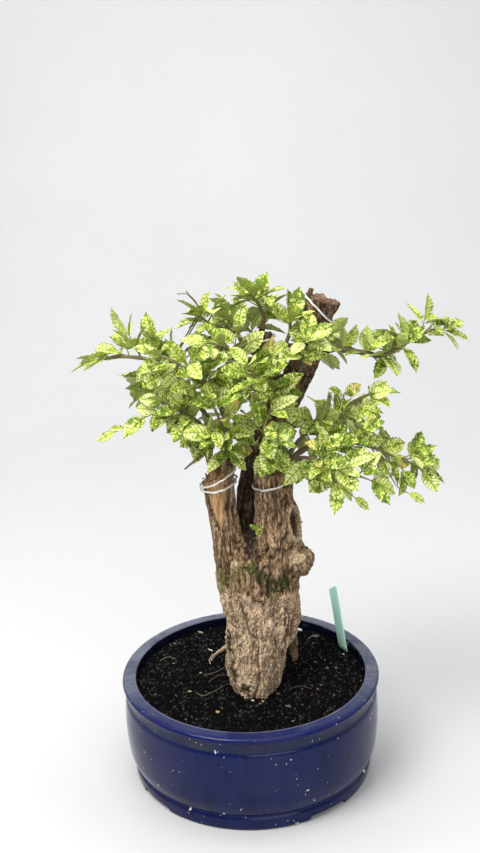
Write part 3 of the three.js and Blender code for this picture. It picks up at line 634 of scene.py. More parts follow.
BACK_STUB = {"relief": 0.8, "seed": 4, "slant": -0.2, "stations": [
    (33, 15, 374, 9, 9), (29, 18, 398, 10, 9.5), (24, 21, 420, 10, 9.5), (20, 22, 443, 10.5, 10)]}
SPUR = {"stations": [(68, 6, 464, 3.4), (65, 4, 477, 3.0), (67, 3, 488, 2.6)]}
SIDE_ROOT = {"relief": 0.5, "seed": 5, "stations": [
    (26, -2, 176, 9, 9), (38, 14, 158, 7.5, 8), (44, 26, 130, 5, 6.5), (45.5, 33, 97, 4.6, 6.5),
    (45.5, 33, 86, 4, 6)]}
PALE_ROOT = {"stations": [
    (-8, 2, 138, 4), (-22, 10, 124, 2.8), (-33, 26, 108, 2.1), (-38, 34, 98, 1.8), (-44, 32, 84, 1.6)]}
LIMBS = [TRUNK, LEFT_STUB, RIGHT_STUB, LEANING_STEM, BACK_STUB, SPUR, SIDE_ROOT, PALE_ROOT]
SAWN_LIMBS = [LEFT_STUB, RIGHT_STUB, LEANING_STEM, BACK_STUB]
BURL = ((45, -17, 224), (19.5, 17, 19))
HOLLOW_KNOT = ((48, -26, 273), (7, 7, 16))

# %% [markdown]
# ## Where the branches leave the old wood
#
# Each living branch comes out of a short collar. A branch is listed with its radius, the points
# that it passes and its shoots: the share of the branch where a shoot starts, and where the tip of
# its last leaf is.

# %% Branches and collars
COLLARS = {
    "left_high": [(-22, -7, 310), (-19, 0, 334)], "left_mid": [(-17, -9, 316), (-13, -13, 340)],
    "left_low": [(-28, -10, 308), (-30, -16, 332)],
    "front_left": [(-19, -14, 312), (-18, -27, 332)],
    "front_mid": [(22, -18, 310), (22, -33, 331)], "centre": [(34, 13, 362), (36, -5, 368)],
    "mid": [(27, 20, 402), (17, 8, 410)], "top": [(20, 22, 434), (22, 22, 449)],
    "top_left": [(24, 21, 420), (9, 20, 427)], "top_right": [(64, 7, 430), (47, 1, 436)],
    "over_stub": [(60, 8, 412), (58, -9, 419)], "long_right": [(64, 8, 424), (84, 10, 429)],
    "right_mid": [(28, 15, 350), (47, 5, 356)], "right_low": [(36, -13, 310), (46, -12, 329)],
    "right_front": [(33, -21, 308), (41, -33, 326)], "back_left": [(-25, -8, 306), (-33, 1, 331)],
    "back_right": [(34, -6, 308), (43, 7, 325)], "back_mid": [(18, 17, 338), (16, 34, 348)],
    "back_top": [(25, 21, 412), (20, 36, 424)], "back_out": [(56, 11, 402), (62, 28, 412)],
}
SPRAYS = [
    ("left_high", 3.2, [(-28, 8, 359), (-48, 8, 392), (-74, 6, 421), (-103, 2, 430), (-126, 0, 429)],
     [(1, -156, -2, 426), (0.86, -132, 10, 439), (0.8, -108, 10, 457), (0.8, -112, 18, 468),
      (0.7, -79, 14, 463), (0.72, -95, -10, 417), (0.55, -62, 24, 447), (0.5, -66, -16, 408)]),
    ("left_mid", 3, [(-18, -24, 384), (-32, -34, 411), (-53, -38, 431), (-72, -36, 441)],
     [(1, -88, -32, 452), (0.9, -80, -44, 428), (0.75, -59, -38, 453), (0.6, -36, -46, 447),
      (0.6, -60, -54, 418), (0.4, -36, -60, 412), (0.4, -16, -56, 429)]),
    ("left_low", 2.8, [(-32, -22, 362), (-52, -28, 384), (-72, -32, 396)],
     [(1, -93, -30, 403), (0.85, -83, -36, 377), (0.7, -67, -44, 369), (0.45, -46, -46, 363),
      (0.7, -61, -50, 410), (0.3, -51, -32, 338), (0.95, -109, -30, 370)]),
    ("front_left", 2.4, [(-13, -40, 356), (-18, -54, 379), (-24, -62, 398)],
     [(1, -30, -66, 414), (0.7, -34, -62, 372), (0.6, 0, -64, 379), (0.8, -5, -70, 407),
      (0.3, -32, -48, 343), (0.3, -3, -46, 341)]),
    ("front_mid", 2.4, [(21, -46, 353), (19, -56, 374), (25, -62, 394)],
     [(1, 38, -66, 406), (0.35, 16, -60, 332), (0.6, 40, -66, 367), (0.9, 9, -72, 405), (0.4, 40, -58, 340)]),
    ("centre", 3, [(30, -26, 394), (19, -44, 415), (4, -54, 427)],
     [(1, -12, -62, 436), (0.75, 14, -54, 442), (0.5, 40, -50, 418), (0.9, 1, -70, 414),
      (0.4, 55, -34, 405), (0.85, -6, -50, 451)]),
    ("mid", 2.6, [(3, -8, 428), (-12, -20, 441), (-28, -26, 448)],
     [(1, -47, -26, 455), (0.8, -24, -18, 463), (0.5, -3, -28, 454), (0.3, 20, -24, 437),
      (0.9, -39, -46, 438)]),
    ("top", 2.6, [(24, 20, 456), (20, 16, 470), (13, 12, 481)],
     [(1, 3, 8, 505), (0.75, 19, 12, 496), (0.4, 41, 16, 484), (0.3, 48, 14, 460), (0.9, -7, 2, 487),
      (0.55, 28, 34, 472)]),
    ("top_left", 2.6, [(-3, 18, 446), (-23, 14, 453), (-35, 14, 463)],
     [(0.6, 2, 6, 479), (1, -46, 16, 480), (0.95, -32, 10, 477), (0.95, -58, 18, 459), (0.8, -45, 4, 449),
      (0.5, -10, 36, 455)]),
    ("top_right", 2.2, [(46, -3, 449), (47, -6, 463)],
     [(1, 54, -8, 483), (0.9, 68, -14, 477), (0.8, 38, 2, 473), (0.3, 36, -16, 441)]),
    ("over_stub", 2.2, [(56, -22, 435), (59, -28, 449)],
     [(1, 77, -28, 458), (0.5, 39, -32, 440), (0.9, 64, -24, 464), (0.4, 74, -26, 436)]),
    ("long_right", 3.4,
     [(99, 11, 427), (118, 12, 423), (133, 12, 420), (154, 12, 431), (167, 12, 438), (185, 12, 445)],
     [(0.12, 95, 4, 446), (0.32, 113, 4, 443), (0.5, 133, 6, 440), (0.62, 141, 12, 450), (0.72, 156, 14, 456),
      (0.86, 176, 14, 473), (1, 211.8, 8, 438), (0.5, 125, -4, 407), (0.68, 155, 2, 421)]),
    ("right_mid", 2.6, [(71, -8, 366), (87, -10, 375), (106, -8, 383), (120, -8, 390)],
     [(1, 133, -10, 394), (0.5, 120, -16, 378), (0.3, 61, -16, 382), (0.4, 84, -6, 390), (0.4, 99, -20, 367),
      (0.5, 107, 4, 369)]),
    ("right_low", 3,
     [(64, -20, 345), (86, -24, 351), (109, -26, 347), (132, -26, 338), (156, -26, 326)],
     [(1, 188, -28, 312), (0.95, 178, -22, 332), (0.75, 152, -20, 347), (0.55, 118, -16, 363),
      (0.8, 145, -40, 314), (0.5, 116, -46, 336), (0.35, 93, -30, 368), (0.7, 140, -4, 346)]),
    ("right_front", 2.8, [(51, -44, 342), (67, -52, 342), (86, -56, 335), (106, -56, 326)],
     [(0.6, 100, -60, 306), (0.3, 47, -54, 321), (0.4, 61, -60, 321), (0.7, 82, -62, 323), (1, 137, -54, 312),
      (0.5, 77, -64, 360), (0.8, 104, -62, 347)]),
    ("back_left", 3, [(-46, 28, 350), (-68, 44, 376), (-90, 52, 394)],
     [(1, -116, 56, 402), (0.8, -98, 74, 388), (0.55, -72, 66, 362), (0.6, -58, 58, 400),
      (0.4, -40, 50, 374)]),
    ("back_right", 3, [(62, 26, 342), (86, 42, 350), (112, 48, 346)],
     [(1, 138, 48, 338), (0.8, 122, 68, 352), (0.6, 94, 66, 366), (0.5, 88, 60, 332), (0.4, 62, 52, 356)]),
    ("back_mid", 2.8, [(8, 52, 374), (-6, 66, 398), (-20, 74, 416)],
     [(1, -38, 78, 430), (0.8, 4, 84, 416), (0.6, -34, 80, 396), (0.5, 26, 72, 388), (0.4, -16, 62, 372)]),
    ("back_top", 2.6, [(10, 48, 440), (-6, 56, 452)],
     [(1, -28, 60, 462), (0.8, 6, 70, 468), (0.6, -16, 78, 450), (0.5, 30, 60, 458)]),
    ("back_out", 2.6, [(72, 44, 418), (88, 56, 424)],
     [(1, 108, 62, 430), (0.8, 84, 74, 436), (0.6, 60, 66, 430), (0.5, 96, 52, 404)]),
]

# %% [markdown]
# ## Trunk: one skin
#
# The limbs, the collars and the burl become closed tubes, and the remesh turns them into one body
# with a vertex about every millimetre, which is fine enough to carve bark into.

# %% Melt the limbs together
def closed_rings(rings):
    """Equal rings skinned into a closed tube."""
    count, points, faces = len(rings[0]), [tuple(p) for ring in rings for p in ring], []
    for row in range(len(rings) - 1):
        for i in range(count):
            a, b = row * count + i, row * count + (i + 1) % count
            faces.append((a, b, b + count, a + count))
    faces += [tuple(range(count - 1, -1, -1)), tuple(range((len(rings) - 1) * count, len(rings) * count))]
    return points, faces


def round_angles(sectors):
    return 2 * math.pi * np.arange(sectors) / sectors


def limb_tube(limb, rings=64, sectors=56):
    rows = []
    for row in range(rings + 1):
        section = limb_section(limb, row / rings)
        slant = limb.get("slant", 0) if row == rings else 0
        rows.append([section(angle, slant) for angle in round_angles(sectors)])
    return closed_rings(rows)


def cone_tube(start, end, start_radius, end_radius, sectors=20, rings=6):
    """A collar, which narrows quickly where it leaves the old wood."""
    start, end = np.array(start, float), np.array(end, float)
    ahead = unit(end - start)
    side = unit(np.cross((0, 0, 1), ahead))
    depth = np.cross(ahead, side)
    rows = []
    for row in range(rings + 1):
        t = row / rings
        radius = start_radius + (end_radius - start_radius) * t ** 0.6
        rows.append([start + (end - start) * t + side * radius * math.cos(a) + depth * radius * math.sin(a)
                     for a in round_angles(sectors)])
    return closed_rings(rows)


def lump(centre, radii, sectors=24, rings=14):
    rows = []
    for row in range(1, rings):
        polar = math.pi * row / rings
        rows.append([np.array(centre) - np.array(radii) * (
            -math.sin(polar) * math.cos(a), -math.sin(polar) * math.sin(a), math.cos(polar))
            for a in round_angles(sectors)])
    return closed_rings(rows)


COLLAR_START, COLLAR_MOUTH, VOXEL = 1.7, 1.15, 1.2  # of the branch's radius; the voxel in millimetres
wood_shells = [limb_tube(limb) for limb in LIMBS] + [lump(*BURL)]
RADII = {name: radius for name, radius, _, _ in SPRAYS}
for name, (inside, mouth) in COLLARS.items():
    wood_shells.append(cone_tube(inside, mouth, RADII[name] * COLLAR_START, RADII[name] * COLLAR_MOUTH))
wood_points, wood_faces = [], []
for shell_points, shell_faces in wood_shells:
    wood_faces += [tuple(i + len(wood_points) for i in face) for face in shell_faces]
    wood_points += shell_points
wood_blank = plain_object("wood_blank", in_frame(wood_points), wood_faces)
melt = wood_blank.modifiers.new("melt", "REMESH")
melt.mode, melt.voxel_size = "VOXEL", VOXEL * MM
trunk_mesh = baked(wood_blank)
print("trunk skin has", len(trunk_mesh.vertices), "vertices")

# %% [markdown]
# ## Trunk: bark
#
# Old bark splits lengthwise as the wood beneath it swells. Two sets of long fissures are carved by
# noise that is stretched along the stem; the lowest part, which is younger and paler, breaks into
# small scales instead. The hollow knot is pushed in. Some places are special: the strip where the
# bark was torn off the left stub, the sawn ends, moss, and pale patches. Their masks are kept as
# attributes, because the finish needs them too.

# %% Read the skin and find places on it
def per_point(mesh, what):
    """The places ("co") or the outward directions ("normal") of a mesh's points."""
    flat = np.zeros(len(mesh.vertices) * 3)
    mesh.vertices.foreach_get(what, flat)
    return flat.reshape(-1, 3)


def mesh_places(mesh):
    return (per_point(mesh, "co") - np.array(AXIS)) / MM


def tree_of(mesh):
    return BVHTree.FromPolygons([v.co for v in mesh.vertices], [p.vertices[:] for p in mesh.polygons])


skin_at, skin_out = mesh_places(trunk_mesh), per_point(trunk_mesh, "normal")
trunk_tree = tree_of(trunk_mesh)


def seen_on(tree, u, v):
    """Where the sight line through a picture point meets a surface, in millimetres from the axis."""
    hit = tree.ray_cast(EYE, sight(u, v))[0]
    return np.array((hit - AXIS) / MM)


def clouds(points, lumps, seed=0.0):
    """Smooth noise at every point; lumps is the size of its lumps in x, y and z."""
    return np.array([noise.noise(p) for p in points / np.array(lumps, float) + seed])


def eased(value, low, high):
    t = np.clip((value - low) / (high - low), 0, 1)
    return t * t * (3 - 2 * t)


def bump(value, middle, width):
    """1 where the value is at the middle, falling softly to 0 on both sides."""
    return np.exp(-((value - middle) / width) ** 2)


def most(*masks):
    return np.maximum.reduce(masks)


# %% Masks for the special places
ragged, fine_ragged = clouds(skin_at, (5, 5, 5), 3.1), clouds(skin_at, (2, 2, 2), 8.4)
across_skin, skin_height = skin_at[:, 0], skin_at[:, 2]


def spots(*places):
    """Ragged patches round picture points: strength, point, size and stretch of each."""
    masks = []
    for strength, u, v, size, stretch in places:
        away = (skin_at - seen_on(trunk_tree, u, v)) / (np.array(stretch, float) * size)
        away = np.linalg.norm(away, axis=1) + 0.35 * ragged + 0.2 * fine_ragged
        masks.append(strength * (1 - eased(away, 0.7, 1.1)))
    return most(*masks)


def from_limb(limb, start, end, count):
    """How far every point of the skin is from the middle line of a limb, between two shares."""
    line = np.array([smooth_point(middle(limb), t, 0.4) for t in np.linspace(start, end, count)])
    return np.min(np.linalg.norm(skin_at[:, None, :] - line[None], axis=2), axis=1)


sawn = np.zeros(len(skin_at))
for limb in SAWN_LIMBS:
    end, ahead = np.array(middle(limb)[-1], float), smooth_heading(middle(limb), 1, 0.4)
    side = unit(np.array((1.0, 0, 0)) - ahead * ahead[0])
    face = unit(ahead - side * limb.get("slant", 0))
    near = np.linalg.norm(skin_at - end, axis=1) < 24
    off = np.abs((skin_at - end) @ face)
    sawn = np.maximum(sawn, near * (1 - eased(off, 0.8, 2.2)) * eased(skin_out @ face, 0.5, 0.85))

strip_top, strip_foot = seen_on(trunk_tree, 216.5, 489), seen_on(trunk_tree, 220.5, 532)
strip_share = np.clip((skin_height - strip_foot[2]) / (strip_top[2] - strip_foot[2]), -0.5, 1.6)
strip_side = across_skin - (strip_foot[0] + (strip_top[0] - strip_foot[0]) * strip_share)
strip_off = np.abs(strip_side) + 1.2 * fine_ragged
strip_half = 11.5 * np.clip(strip_share, 0, 1) ** 0.8
in_front = eased(-skin_out[:, 1], 0.0, 0.3) * (across_skin < -4) * (strip_share > 0) * (skin_height < 322)
stripped = in_front * (1 - eased(strip_off, strip_half - 0.8, strip_half + 0.8))
stripped *= 1 - 0.75 * eased(strip_side + 3 * ragged, 0, 8)
strip_edge = in_front * bump(strip_off - strip_half, 0.6, 1.1) * (strip_side < 4) * (strip_share < 0.97)

moss_gaps = eased(clouds(skin_at, (3.2, 3.2, 3.2), 91.0), -0.22, 0.16)
moss_light = moss_gaps * spots(
    (1, 223, 578, 10, (1.2, 1, 0.9)), (1, 236, 574, 10, (1.3, 1, 0.8)), (1, 246, 568, 8, (1.1, 1, 0.8)),
    (1, 221, 588, 7, (0.6, 1, 1.2)), (0.6, 272, 597, 9, (1.3, 1, 0.6)))
moss_dark = np.maximum(moss_gaps, 0.7) * spots(
    (1, 280, 585, 12, (1.3, 1, 0.75)), (1, 229, 643, 8, (0.5, 1, 1.8)), (1, 262, 578, 8, (1, 1, 0.9)),
    (1, 252, 568, 6, (0.9, 1, 1)), (1, 233, 672, 8, (0.5, 1, 1.6)), (1, 245, 688, 7, (0.8, 1, 0.7)))
pale_spots = spots(
    (1, 297, 556, 8, (1.1, 1, 0.9)), (1, 280, 631, 7, (1.2, 1, 0.7)), (0.7, 234, 566, 6, (1, 1, 1)),
    (0.8, 243, 682, 8, (1, 1, 0.8)), (0.5, 305, 552, 5, (1, 1, 1)))
pale_spots = most(pale_spots, 1 - eased(from_limb(PALE_ROOT, 0.25, 1, 24), 4.0, 5.5))
shaded_root = 1 - eased(from_limb(SIDE_ROOT, 0.4, 1, 16), 8, 11)
# Painted shade: the fork between the stubs, round and under the foot of the leaning stem, is dark damp bark
# painted near black.
damp = ((1 - eased(from_limb(LEANING_STEM, 0, 0.45, 20), 14, 19)) * (1 - eased(skin_height, 318, 345))
        * eased(skin_at[:, 1], -16, -4))
damp *= eased(-skin_out[:, 1] + 0.3 * ragged, -0.45, 0.15)
damp = most(damp * (0.9 + 0.3 * ragged), spots(
    (1, 249, 533, 12, (0.7, 1.6, 1.1)), (0.85, 250, 547, 10, (0.5, 1, 1.3)),
    (0.6, 256, 556, 9, (0.6, 1, 1.2))))


# %% Carve the bark
warp = np.stack([clouds(skin_at, (14, 14, 30), 11.0), clouds(skin_at, (14, 14, 30), 23.0),
                 np.zeros(len(skin_at))], axis=1)
line_left, line_right = seen_on(trunk_tree, 219, 584), seen_on(trunk_tree, 296, 592)
band = line_right[2] - line_left[2]
band = line_left[2] + band * (across_skin - line_left[0]) / (line_right[0] - line_left[0])
lower = 1 - eased(skin_height + 3 * ragged, band - 3, band + 2)
upper_wood = eased(skin_height, 322, 342)

fissure = bump(clouds(skin_at + 4 * warp, (5.6, 5.6, 58)), 0, 0.085)
crack = bump(clouds(skin_at + 3 * warp, (2.6, 2.6, 22), 5.0), 0, 0.11)
scale_gap = bump(clouds(skin_at + 3 * warp, (2.3, 2.3, 4.2), 41.0), 0, 0.14)
scale_gap *= eased(clouds(skin_at, (9, 9, 12), 51.0), -0.3, 0.1)
fold_line = bump(clouds(skin_at + 5 * warp, (13, 13, 90), 37.0), 0, 0.05)
flaking = clouds(skin_at + 2 * warp, (5.5, 5.5, 10), 31.0)
layers = np.floor(flaking * 4.5) / 4.5
crumbs = clouds(skin_at, (1.6, 1.6, 2.2), 17.0)

smooth_here = most(stripped, 0.9 * sawn, 0.7 * pale_spots)
carve = ((1 - lower) * (2.4 * fissure + 1.2 * crack)
         + lower * (1.2 * fissure + 0.5 * crack + 1.4 * scale_gap + 2.6 * fold_line))
carve -= 1.5 * lower * layers
lift = (-carve * (1 - smooth_here) + (0.45 + 0.5 * lower) * crumbs * (1 - 0.7 * smooth_here)
        - 1.0 * stripped - 1.3 * strip_edge)
lift += 0.8 * (1 - smooth_here) * eased(flaking, 0.1, 0.5)
lift += 3.0 * np.exp(-np.sum(((skin_at - (91, 2, 468)) / (6, 9, 6)) ** 2, axis=1))  # the knob at the top
top_end = sawn * eased(skin_height, 455, 465)
lift += (top_end * (3.2 * clouds(skin_at, (5, 5, 5), 71.0) + 1.2 * clouds(skin_at, (2, 2, 2), 73.0))
         + 0.9 * sawn * ragged)
from_burl = np.linalg.norm((skin_at - np.array(BURL[0])) / np.array(BURL[1]), axis=1)
on_burl = (1 - eased(from_burl, 1.05, 1.35)) * eased(across_skin, 38, 50)
lift += on_burl * (3.6 * clouds(skin_at, (9, 9, 9), 61.0) - 6.0 * eased(skin_height, 228, 208)
                   + 2.4 * bump(skin_height, 233, 6) + 2.0 * clouds(skin_at, (4, 4, 4), 67.0))
carved = skin_at + skin_out * lift[:, None]

DEEPEST_PUSH = 11
knot_centre, knot_radii = np.array(HOLLOW_KNOT[0], float), np.array(HOLLOW_KNOT[1], float)
knot_in = unit(np.array((-0.75, 0.66, 0.0)))
rel, into = (carved - knot_centre) / knot_radii, knot_in / knot_radii
a2, b2, c2 = into @ into, 2 * rel @ into, np.sum(rel ** 2, axis=1) - 1
push = np.where(c2 < 0, (-b2 + np.sqrt(np.maximum(b2 ** 2 - 4 * a2 * c2, 0))) / (2 * a2), 0)
carved += np.minimum(push, DEEPEST_PUSH)[:, None] * knot_in
dark_hollow = eased(push, 0.5, 5)
knot_rim = bump(c2, 0.45, 0.4) * (skin_out @ knot_in < 0.2)
swell = 2.6 * knot_rim * (0.6 + fine_ragged) + 2.2 * dark_hollow * clouds(skin_at, (2.6, 2.6, 5), 81.0)
carved += swell[:, None] * skin_out

# Painted shade: the fissures, scale gaps, the torn strip's edge and the hollow knot are painted dark by the
# finish.
groove_shade = lower * most(0.75 * scale_gap, 0.5 * fissure, 0.3 * crack, fold_line)
groove_shade = np.clip(np.maximum(fissure, 0.7 * crack) * (1 - lower) + groove_shade, 0, 1)
groove_shade = most(groove_shade * (1 - smooth_here), strip_edge, dark_hollow)
trunk_mesh.vertices.foreach_set("co", in_frame(carved).ravel())
trunk_mesh.update()
trunk_mesh.shade_smooth()


def keep_attribute(mesh, name, values, domain="POINT"):
    """Stores an array on a mesh: vectors, yes or no, whole numbers or numbers."""
    values, slot = np.asarray(values), "value"
    kinds = {"b": ("BOOLEAN", bool), "i": ("INT", np.int32), "f": ("FLOAT", np.float32)}
    kind, stored = kinds[values.dtype.kind]
    if values.ndim == 2:
        kind, stored, slot = "FLOAT_VECTOR", np.float32, "vector"
    mesh.attributes.new(name, kind, domain).data.foreach_set(slot, values.astype(stored).ravel())


# The grooves' darkness below is painted shade, and the ridges' lighter tone is a painted highlight.
for mask_name, mask in {
        "groove_shade": groove_shade, "ridge_highlight": eased(lift, -0.35, 0.75) * (1 - groove_shade), "knot_rim": knot_rim,
        "hollow": dark_hollow, "shaded_root": shaded_root, "lower": lower, "sawn": sawn,
        "stripped": stripped, "moss_light": moss_light, "moss_dark": moss_dark, "pale": pale_spots,
        "upper": upper_wood, "damp": damp, "flake": eased(flaking, -0.3, 0.4)}.items():
    keep_attribute(trunk_mesh, mask_name, mask)
trunk_tree = tree_of(trunk_mesh)
print("bark carved, deepest", round(float(lift.min()), 2), "mm")

# %% [markdown]
# The bark is brown and ridged above, and paler and pinker below the band of moss. Grooves are painted
# nearly black, a painted shade, and ridges are painted a lighter grey-tan, a painted highlight. The torn
# strip is bare straw-coloured wood, the sawn ends are reddish with rings, and the fork between the
# stubs is dark damp bark with painted shade on it. Fine grain on top keeps it from looking moulded.

# %% Bark finish
bark, nodes = new_material("old_bark")
place, mask = nodes.here(), nodes.attribute
long_grain = nodes.cloud(place, 400, 6, 0.74, 0.6, stretch=(1, 1, 0.22))
crackle = abs(nodes.cloud(place, 230, 5, 0.66, 1.1, stretch=(1, 1, 0.32)) - 0.5).span(0.034, 0.008)
break_up, blotch = patches(place, 330, 0.5, 0.06), patches(place, 85, 0.5, 0.12)
fibre = nodes.cloud(place, 620, 4, 0.65, 0.3, stretch=(1, 1, 0.07)).span(0.40, 0.60)
fine = patches(nodes.stretched(place, (1, 1, 0.5)), 380, 0.55, 0.07)
streaky = long_grain.span(0.36, 0.62)
bitty = nodes.cloud(place, 620, 5, 0.72, 0.5, stretch=(1, 1, 0.55)).span(0.36, 0.60)
brown = nodes.layered(
    nodes.mixed(streaky, (0.135, 0.062, 0.024), (0.78, 0.52, 0.285)),
    (blotch * 0.4, (0.27, 0.155, 0.080)), ((1 - fibre) * 0.4, (0.10, 0.046, 0.020)))
tan = nodes.layered(
    nodes.mixed(bitty, (0.29, 0.130, 0.052), (1.0, 0.83, 0.58)),
    (blotch * 0.35, (0.66, 0.38, 0.225)), (mask("flake") * 0.25, (0.88, 0.66, 0.42)))
long_threads = nodes.cloud(place, 420, 5, 0.7, stretch=(1, 1, 0.06)).span(0.35, 0.65)
straw = nodes.mixed(long_threads, (0.30, 0.150, 0.055), (0.80, 0.53, 0.27))
rings = nodes.maths("SINE", nodes.cells(place, 24) * 150.0)
sawn_tone = nodes.layered(
    nodes.mixed(rings.span(-1, 1), (0.26, 0.115, 0.060), (0.50, 0.29, 0.17)),
    (crackle * 0.7, (0.05, 0.024, 0.014)),
    (mask("upper") * 0.8, nodes.mixed(streaky, (0.045, 0.026, 0.017), (0.34, 0.22, 0.145))))
moss_fine = patches(place, 520, 0.46, 0.1) * break_up.span(0, 1, 0.45, 1.0)
colour = nodes.layered(
    brown,
    (mask("lower"), tan),
    # painted highlight on the raised bark
    (mask("ridge_highlight") * 0.34, (0.82, 0.62, 0.41)),
    (mask("upper") * 0.88, nodes.mixed(streaky, (0.034, 0.018, 0.011), (0.29, 0.165, 0.098))),
    (fine * 0.3, (0.80, 0.65, 0.46)),
    (mask("shaded_root") * 0.6, (0.14, 0.082, 0.05)),
    # dark damp bark in the fork, made near black with painted shade
    (mask("damp") * fine.span(0, 1, 0.95, 0.75), (0.012, 0.010, 0.008)),
    (crackle * 0.8, (0.060, 0.031, 0.017)),
    # painted shade in the grooves, the torn strip's edge and the hollow
    (mask("groove_shade") * 0.9, nodes.mixed(mask("lower"), (0.022, 0.012, 0.007), (0.095, 0.044, 0.020))),
    (mask("hollow") * streaky.span(0.3, 1, 0.0, 0.75), (0.17, 0.060, 0.028)),
    (mask("knot_rim") * break_up.span(0, 1, 0.4, 0.95), (0.88, 0.70, 0.47)),
    (mask("pale") * break_up.span(0, 1, 0.2, 0.85), (0.83, 0.66, 0.42)),
    (mask("stripped") * 0.95, straw),
    (mask("sawn") * 0.85, sawn_tone),
    (mask("moss_light") * moss_fine.span(0, 1, 0.1, 0.9), (0.20, 0.215, 0.060)),
    (mask("moss_dark") * moss_fine.span(0, 1, 0.35, 0.95), (0.020, 0.030, 0.009)))
relief = (long_grain + fine_grain(place, 900) * 0.5 + nodes.mixed(mask("lower"), fibre, bitty) * 0.6
          - crackle * 0.55)
nodes.finish(colour, long_grain.span(0.3, 0.7, 0.78, 0.95), bumped(relief, 1.0, 0.8), 0.2)
painted(trunk_mesh, bark)
piece("old_trunk", trunk_mesh, "trunk", "trunk")

# %% [markdown]
# ## Round stock along a line
#
# Twigs, training wires, dry stems and roots are all the same thing to a maker: round stock that
# follows a line and changes thickness on the way. One geometry tree does it. Its mesh in is only
# edges, with the thickness at every point.

# %% Round stock tree
def geometry_tree(name, inputs):
    """A tree with its inputs, as kind and first value by name, and its output."""
    tree = bpy.data.node_groups.new(name, "GeometryNodeTree")
    for socket, (kind, value) in {"Geometry": ("Geometry", None), **inputs}.items():
        made = tree.interface.new_socket(socket, in_out="INPUT", socket_type="NodeSocket" + kind)
        if value is not None:
            made.default_value = value
    tree.interface.new_socket("Geometry", in_out="OUTPUT", socket_type="NodeSocketGeometry")
    nodes = Nodes(tree)
    given = {s.name: Out(nodes, s) for s in tree.nodes.new("NodeGroupInput").outputs}
    return tree, nodes, given, tree.nodes.new("NodeGroupOutput").inputs["Geometry"]


def named(nodes, name, kind="FLOAT"):
    return nodes.add("GeometryNodeInputNamedAttribute", {"Name": name}, data_type=kind)


def real_with_finish(nodes, geometry, finish):
    """The end of a tree: plain geometry with its finish on."""
    geometry = nodes.add("GeometryNodeRealizeInstances", {"Geometry": geometry})
    return nodes.add("GeometryNodeSetMaterial", {"Geometry": geometry, "Material": finish})


stock_tree, nodes, given, result = geometry_tree("round_stock", {
    "Sides": ("Int", 7), "Finish": ("Material", None)})
lines = nodes.add("GeometryNodeMeshToCurve", {"Mesh": given["Geometry"]})
outline = nodes.add("GeometryNodeCurvePrimitiveCircle", {"Resolution": given["Sides"], "Radius": 1.0},
                    mode="RADIUS")
stock = nodes.add("GeometryNodeCurveToMesh", {
    "Curve": lines, "Profile Curve": outline, "Scale": named(nodes, "thickness"), "Fill Caps": True})
stock = nodes.add("GeometryNodeSetShadeSmooth", {"Geometry": stock})
nodes.fill(result, real_with_finish(nodes, stock, given["Finish"]))


def grown(plan, tree, **inputs):
    """Runs a geometry tree on a plan object and returns the plain mesh that it makes."""
    modifier = plan.modifiers.new("grow", "NODES")
    modifier.node_group = tree
    for item in tree.interface.items_tree:
        key = item.name.lower().replace(" ", "_")
        if item.item_type == "SOCKET" and item.in_out == "INPUT" and key in inputs:
            modifier[item.identifier] = inputs[key]
    return baked(plan)


def plan_of(name, points, edges, **attributes):
    """A mesh of bare points and edges in the frame, with an array per attribute."""
    mesh = bpy.data.meshes.new(name)
    mesh.from_pydata([tuple(p) for p in points], edges, [])
    for key, values in attributes.items():
        keep_attribute(mesh, key, values)
    return in_scene(name, mesh)


# %% [markdown]
# ## Training wires
#
# Soft aluminium wire was wound round the stubs to pull the branches down. It lies on the bark, so
# its line is read off the same limb sections, a little outside the skin. Handling has left it
# slightly uneven and dull.

# %% Wires
metal, nodes = new_material("aluminium_wire")
place = nodes.here()
dull = patches(place, 350, 0.5, 0.15)
nodes.finish(nodes.mixed(dull, (0.88, 0.87, 0.85), (0.70, 0.69, 0.67)), dull.span(0, 1, 0.42, 0.58),
             bumped(fine_grain(place, 1400), 0.03, 0.4), Metallic=dull.span(0, 1, 0.7, 0.5))

WIRE_HALF, WIRE_LIFT, WIRE_STEPS = 1.0, 2.05, 56  # half thickness, height over the limb, points a turn
WIRES = [  # name, limb, start and end height as shares of it, tilt at start and end, first angle, turns
    ("left_stub", LEFT_STUB, 0.85, 1.0, 0.0, 0.093, 2.6, 1.9),
    ("right_stub", RIGHT_STUB, 0.87, 0.91, 0.01, 0.01, 2.9, 0.62),
    ("leaning_stem", LEANING_STEM, 0.955, 0.955, -0.04, -0.04, 2.0, 0.9),
    ("back_stub", BACK_STUB, 0.9, 0.93, 0.0, 0.0, 2.0, 0.9),
]
wire_trees = []
for name, limb, low, high, tilt_low, tilt_high, first, turns in WIRES:
    steps = int(WIRE_STEPS * turns)
    line = []
    for i in range(steps + 1):
        share = i / steps
        angle = first + 2 * math.pi * turns * share
        tilt = (tilt_low + (tilt_high - tilt_low) * share) * math.cos(angle)
        line.append(limb_section(limb, low + (high - low) * share + tilt, WIRE_LIFT)(angle))
    plan = plan_of(name + "_line", in_frame(line), [(i, i + 1) for i in range(steps)],
                   thickness=np.full(steps + 1, WIRE_HALF * MM))
    wire_mesh = grown(plan, stock_tree, sides=12, finish=metal)
    piece("training_wire_" + name, wire_mesh, "wire", "wire_" + name)
    wire_trees.append(tree_of(wire_mesh))


# %% [markdown]
# ## Leaves: one blade, many times
#
# The leaves are opposite, ovate and coarsely toothed, 20 to 30 mm long. A few flat blade patterns
# are cut out first, with share of length and share of width as their only coordinates. The geometry
# tree later puts a pattern at every leaf point and bends it there: folded along the midrib,
# drooping, twisted and rippled, each leaf by its own numbers.

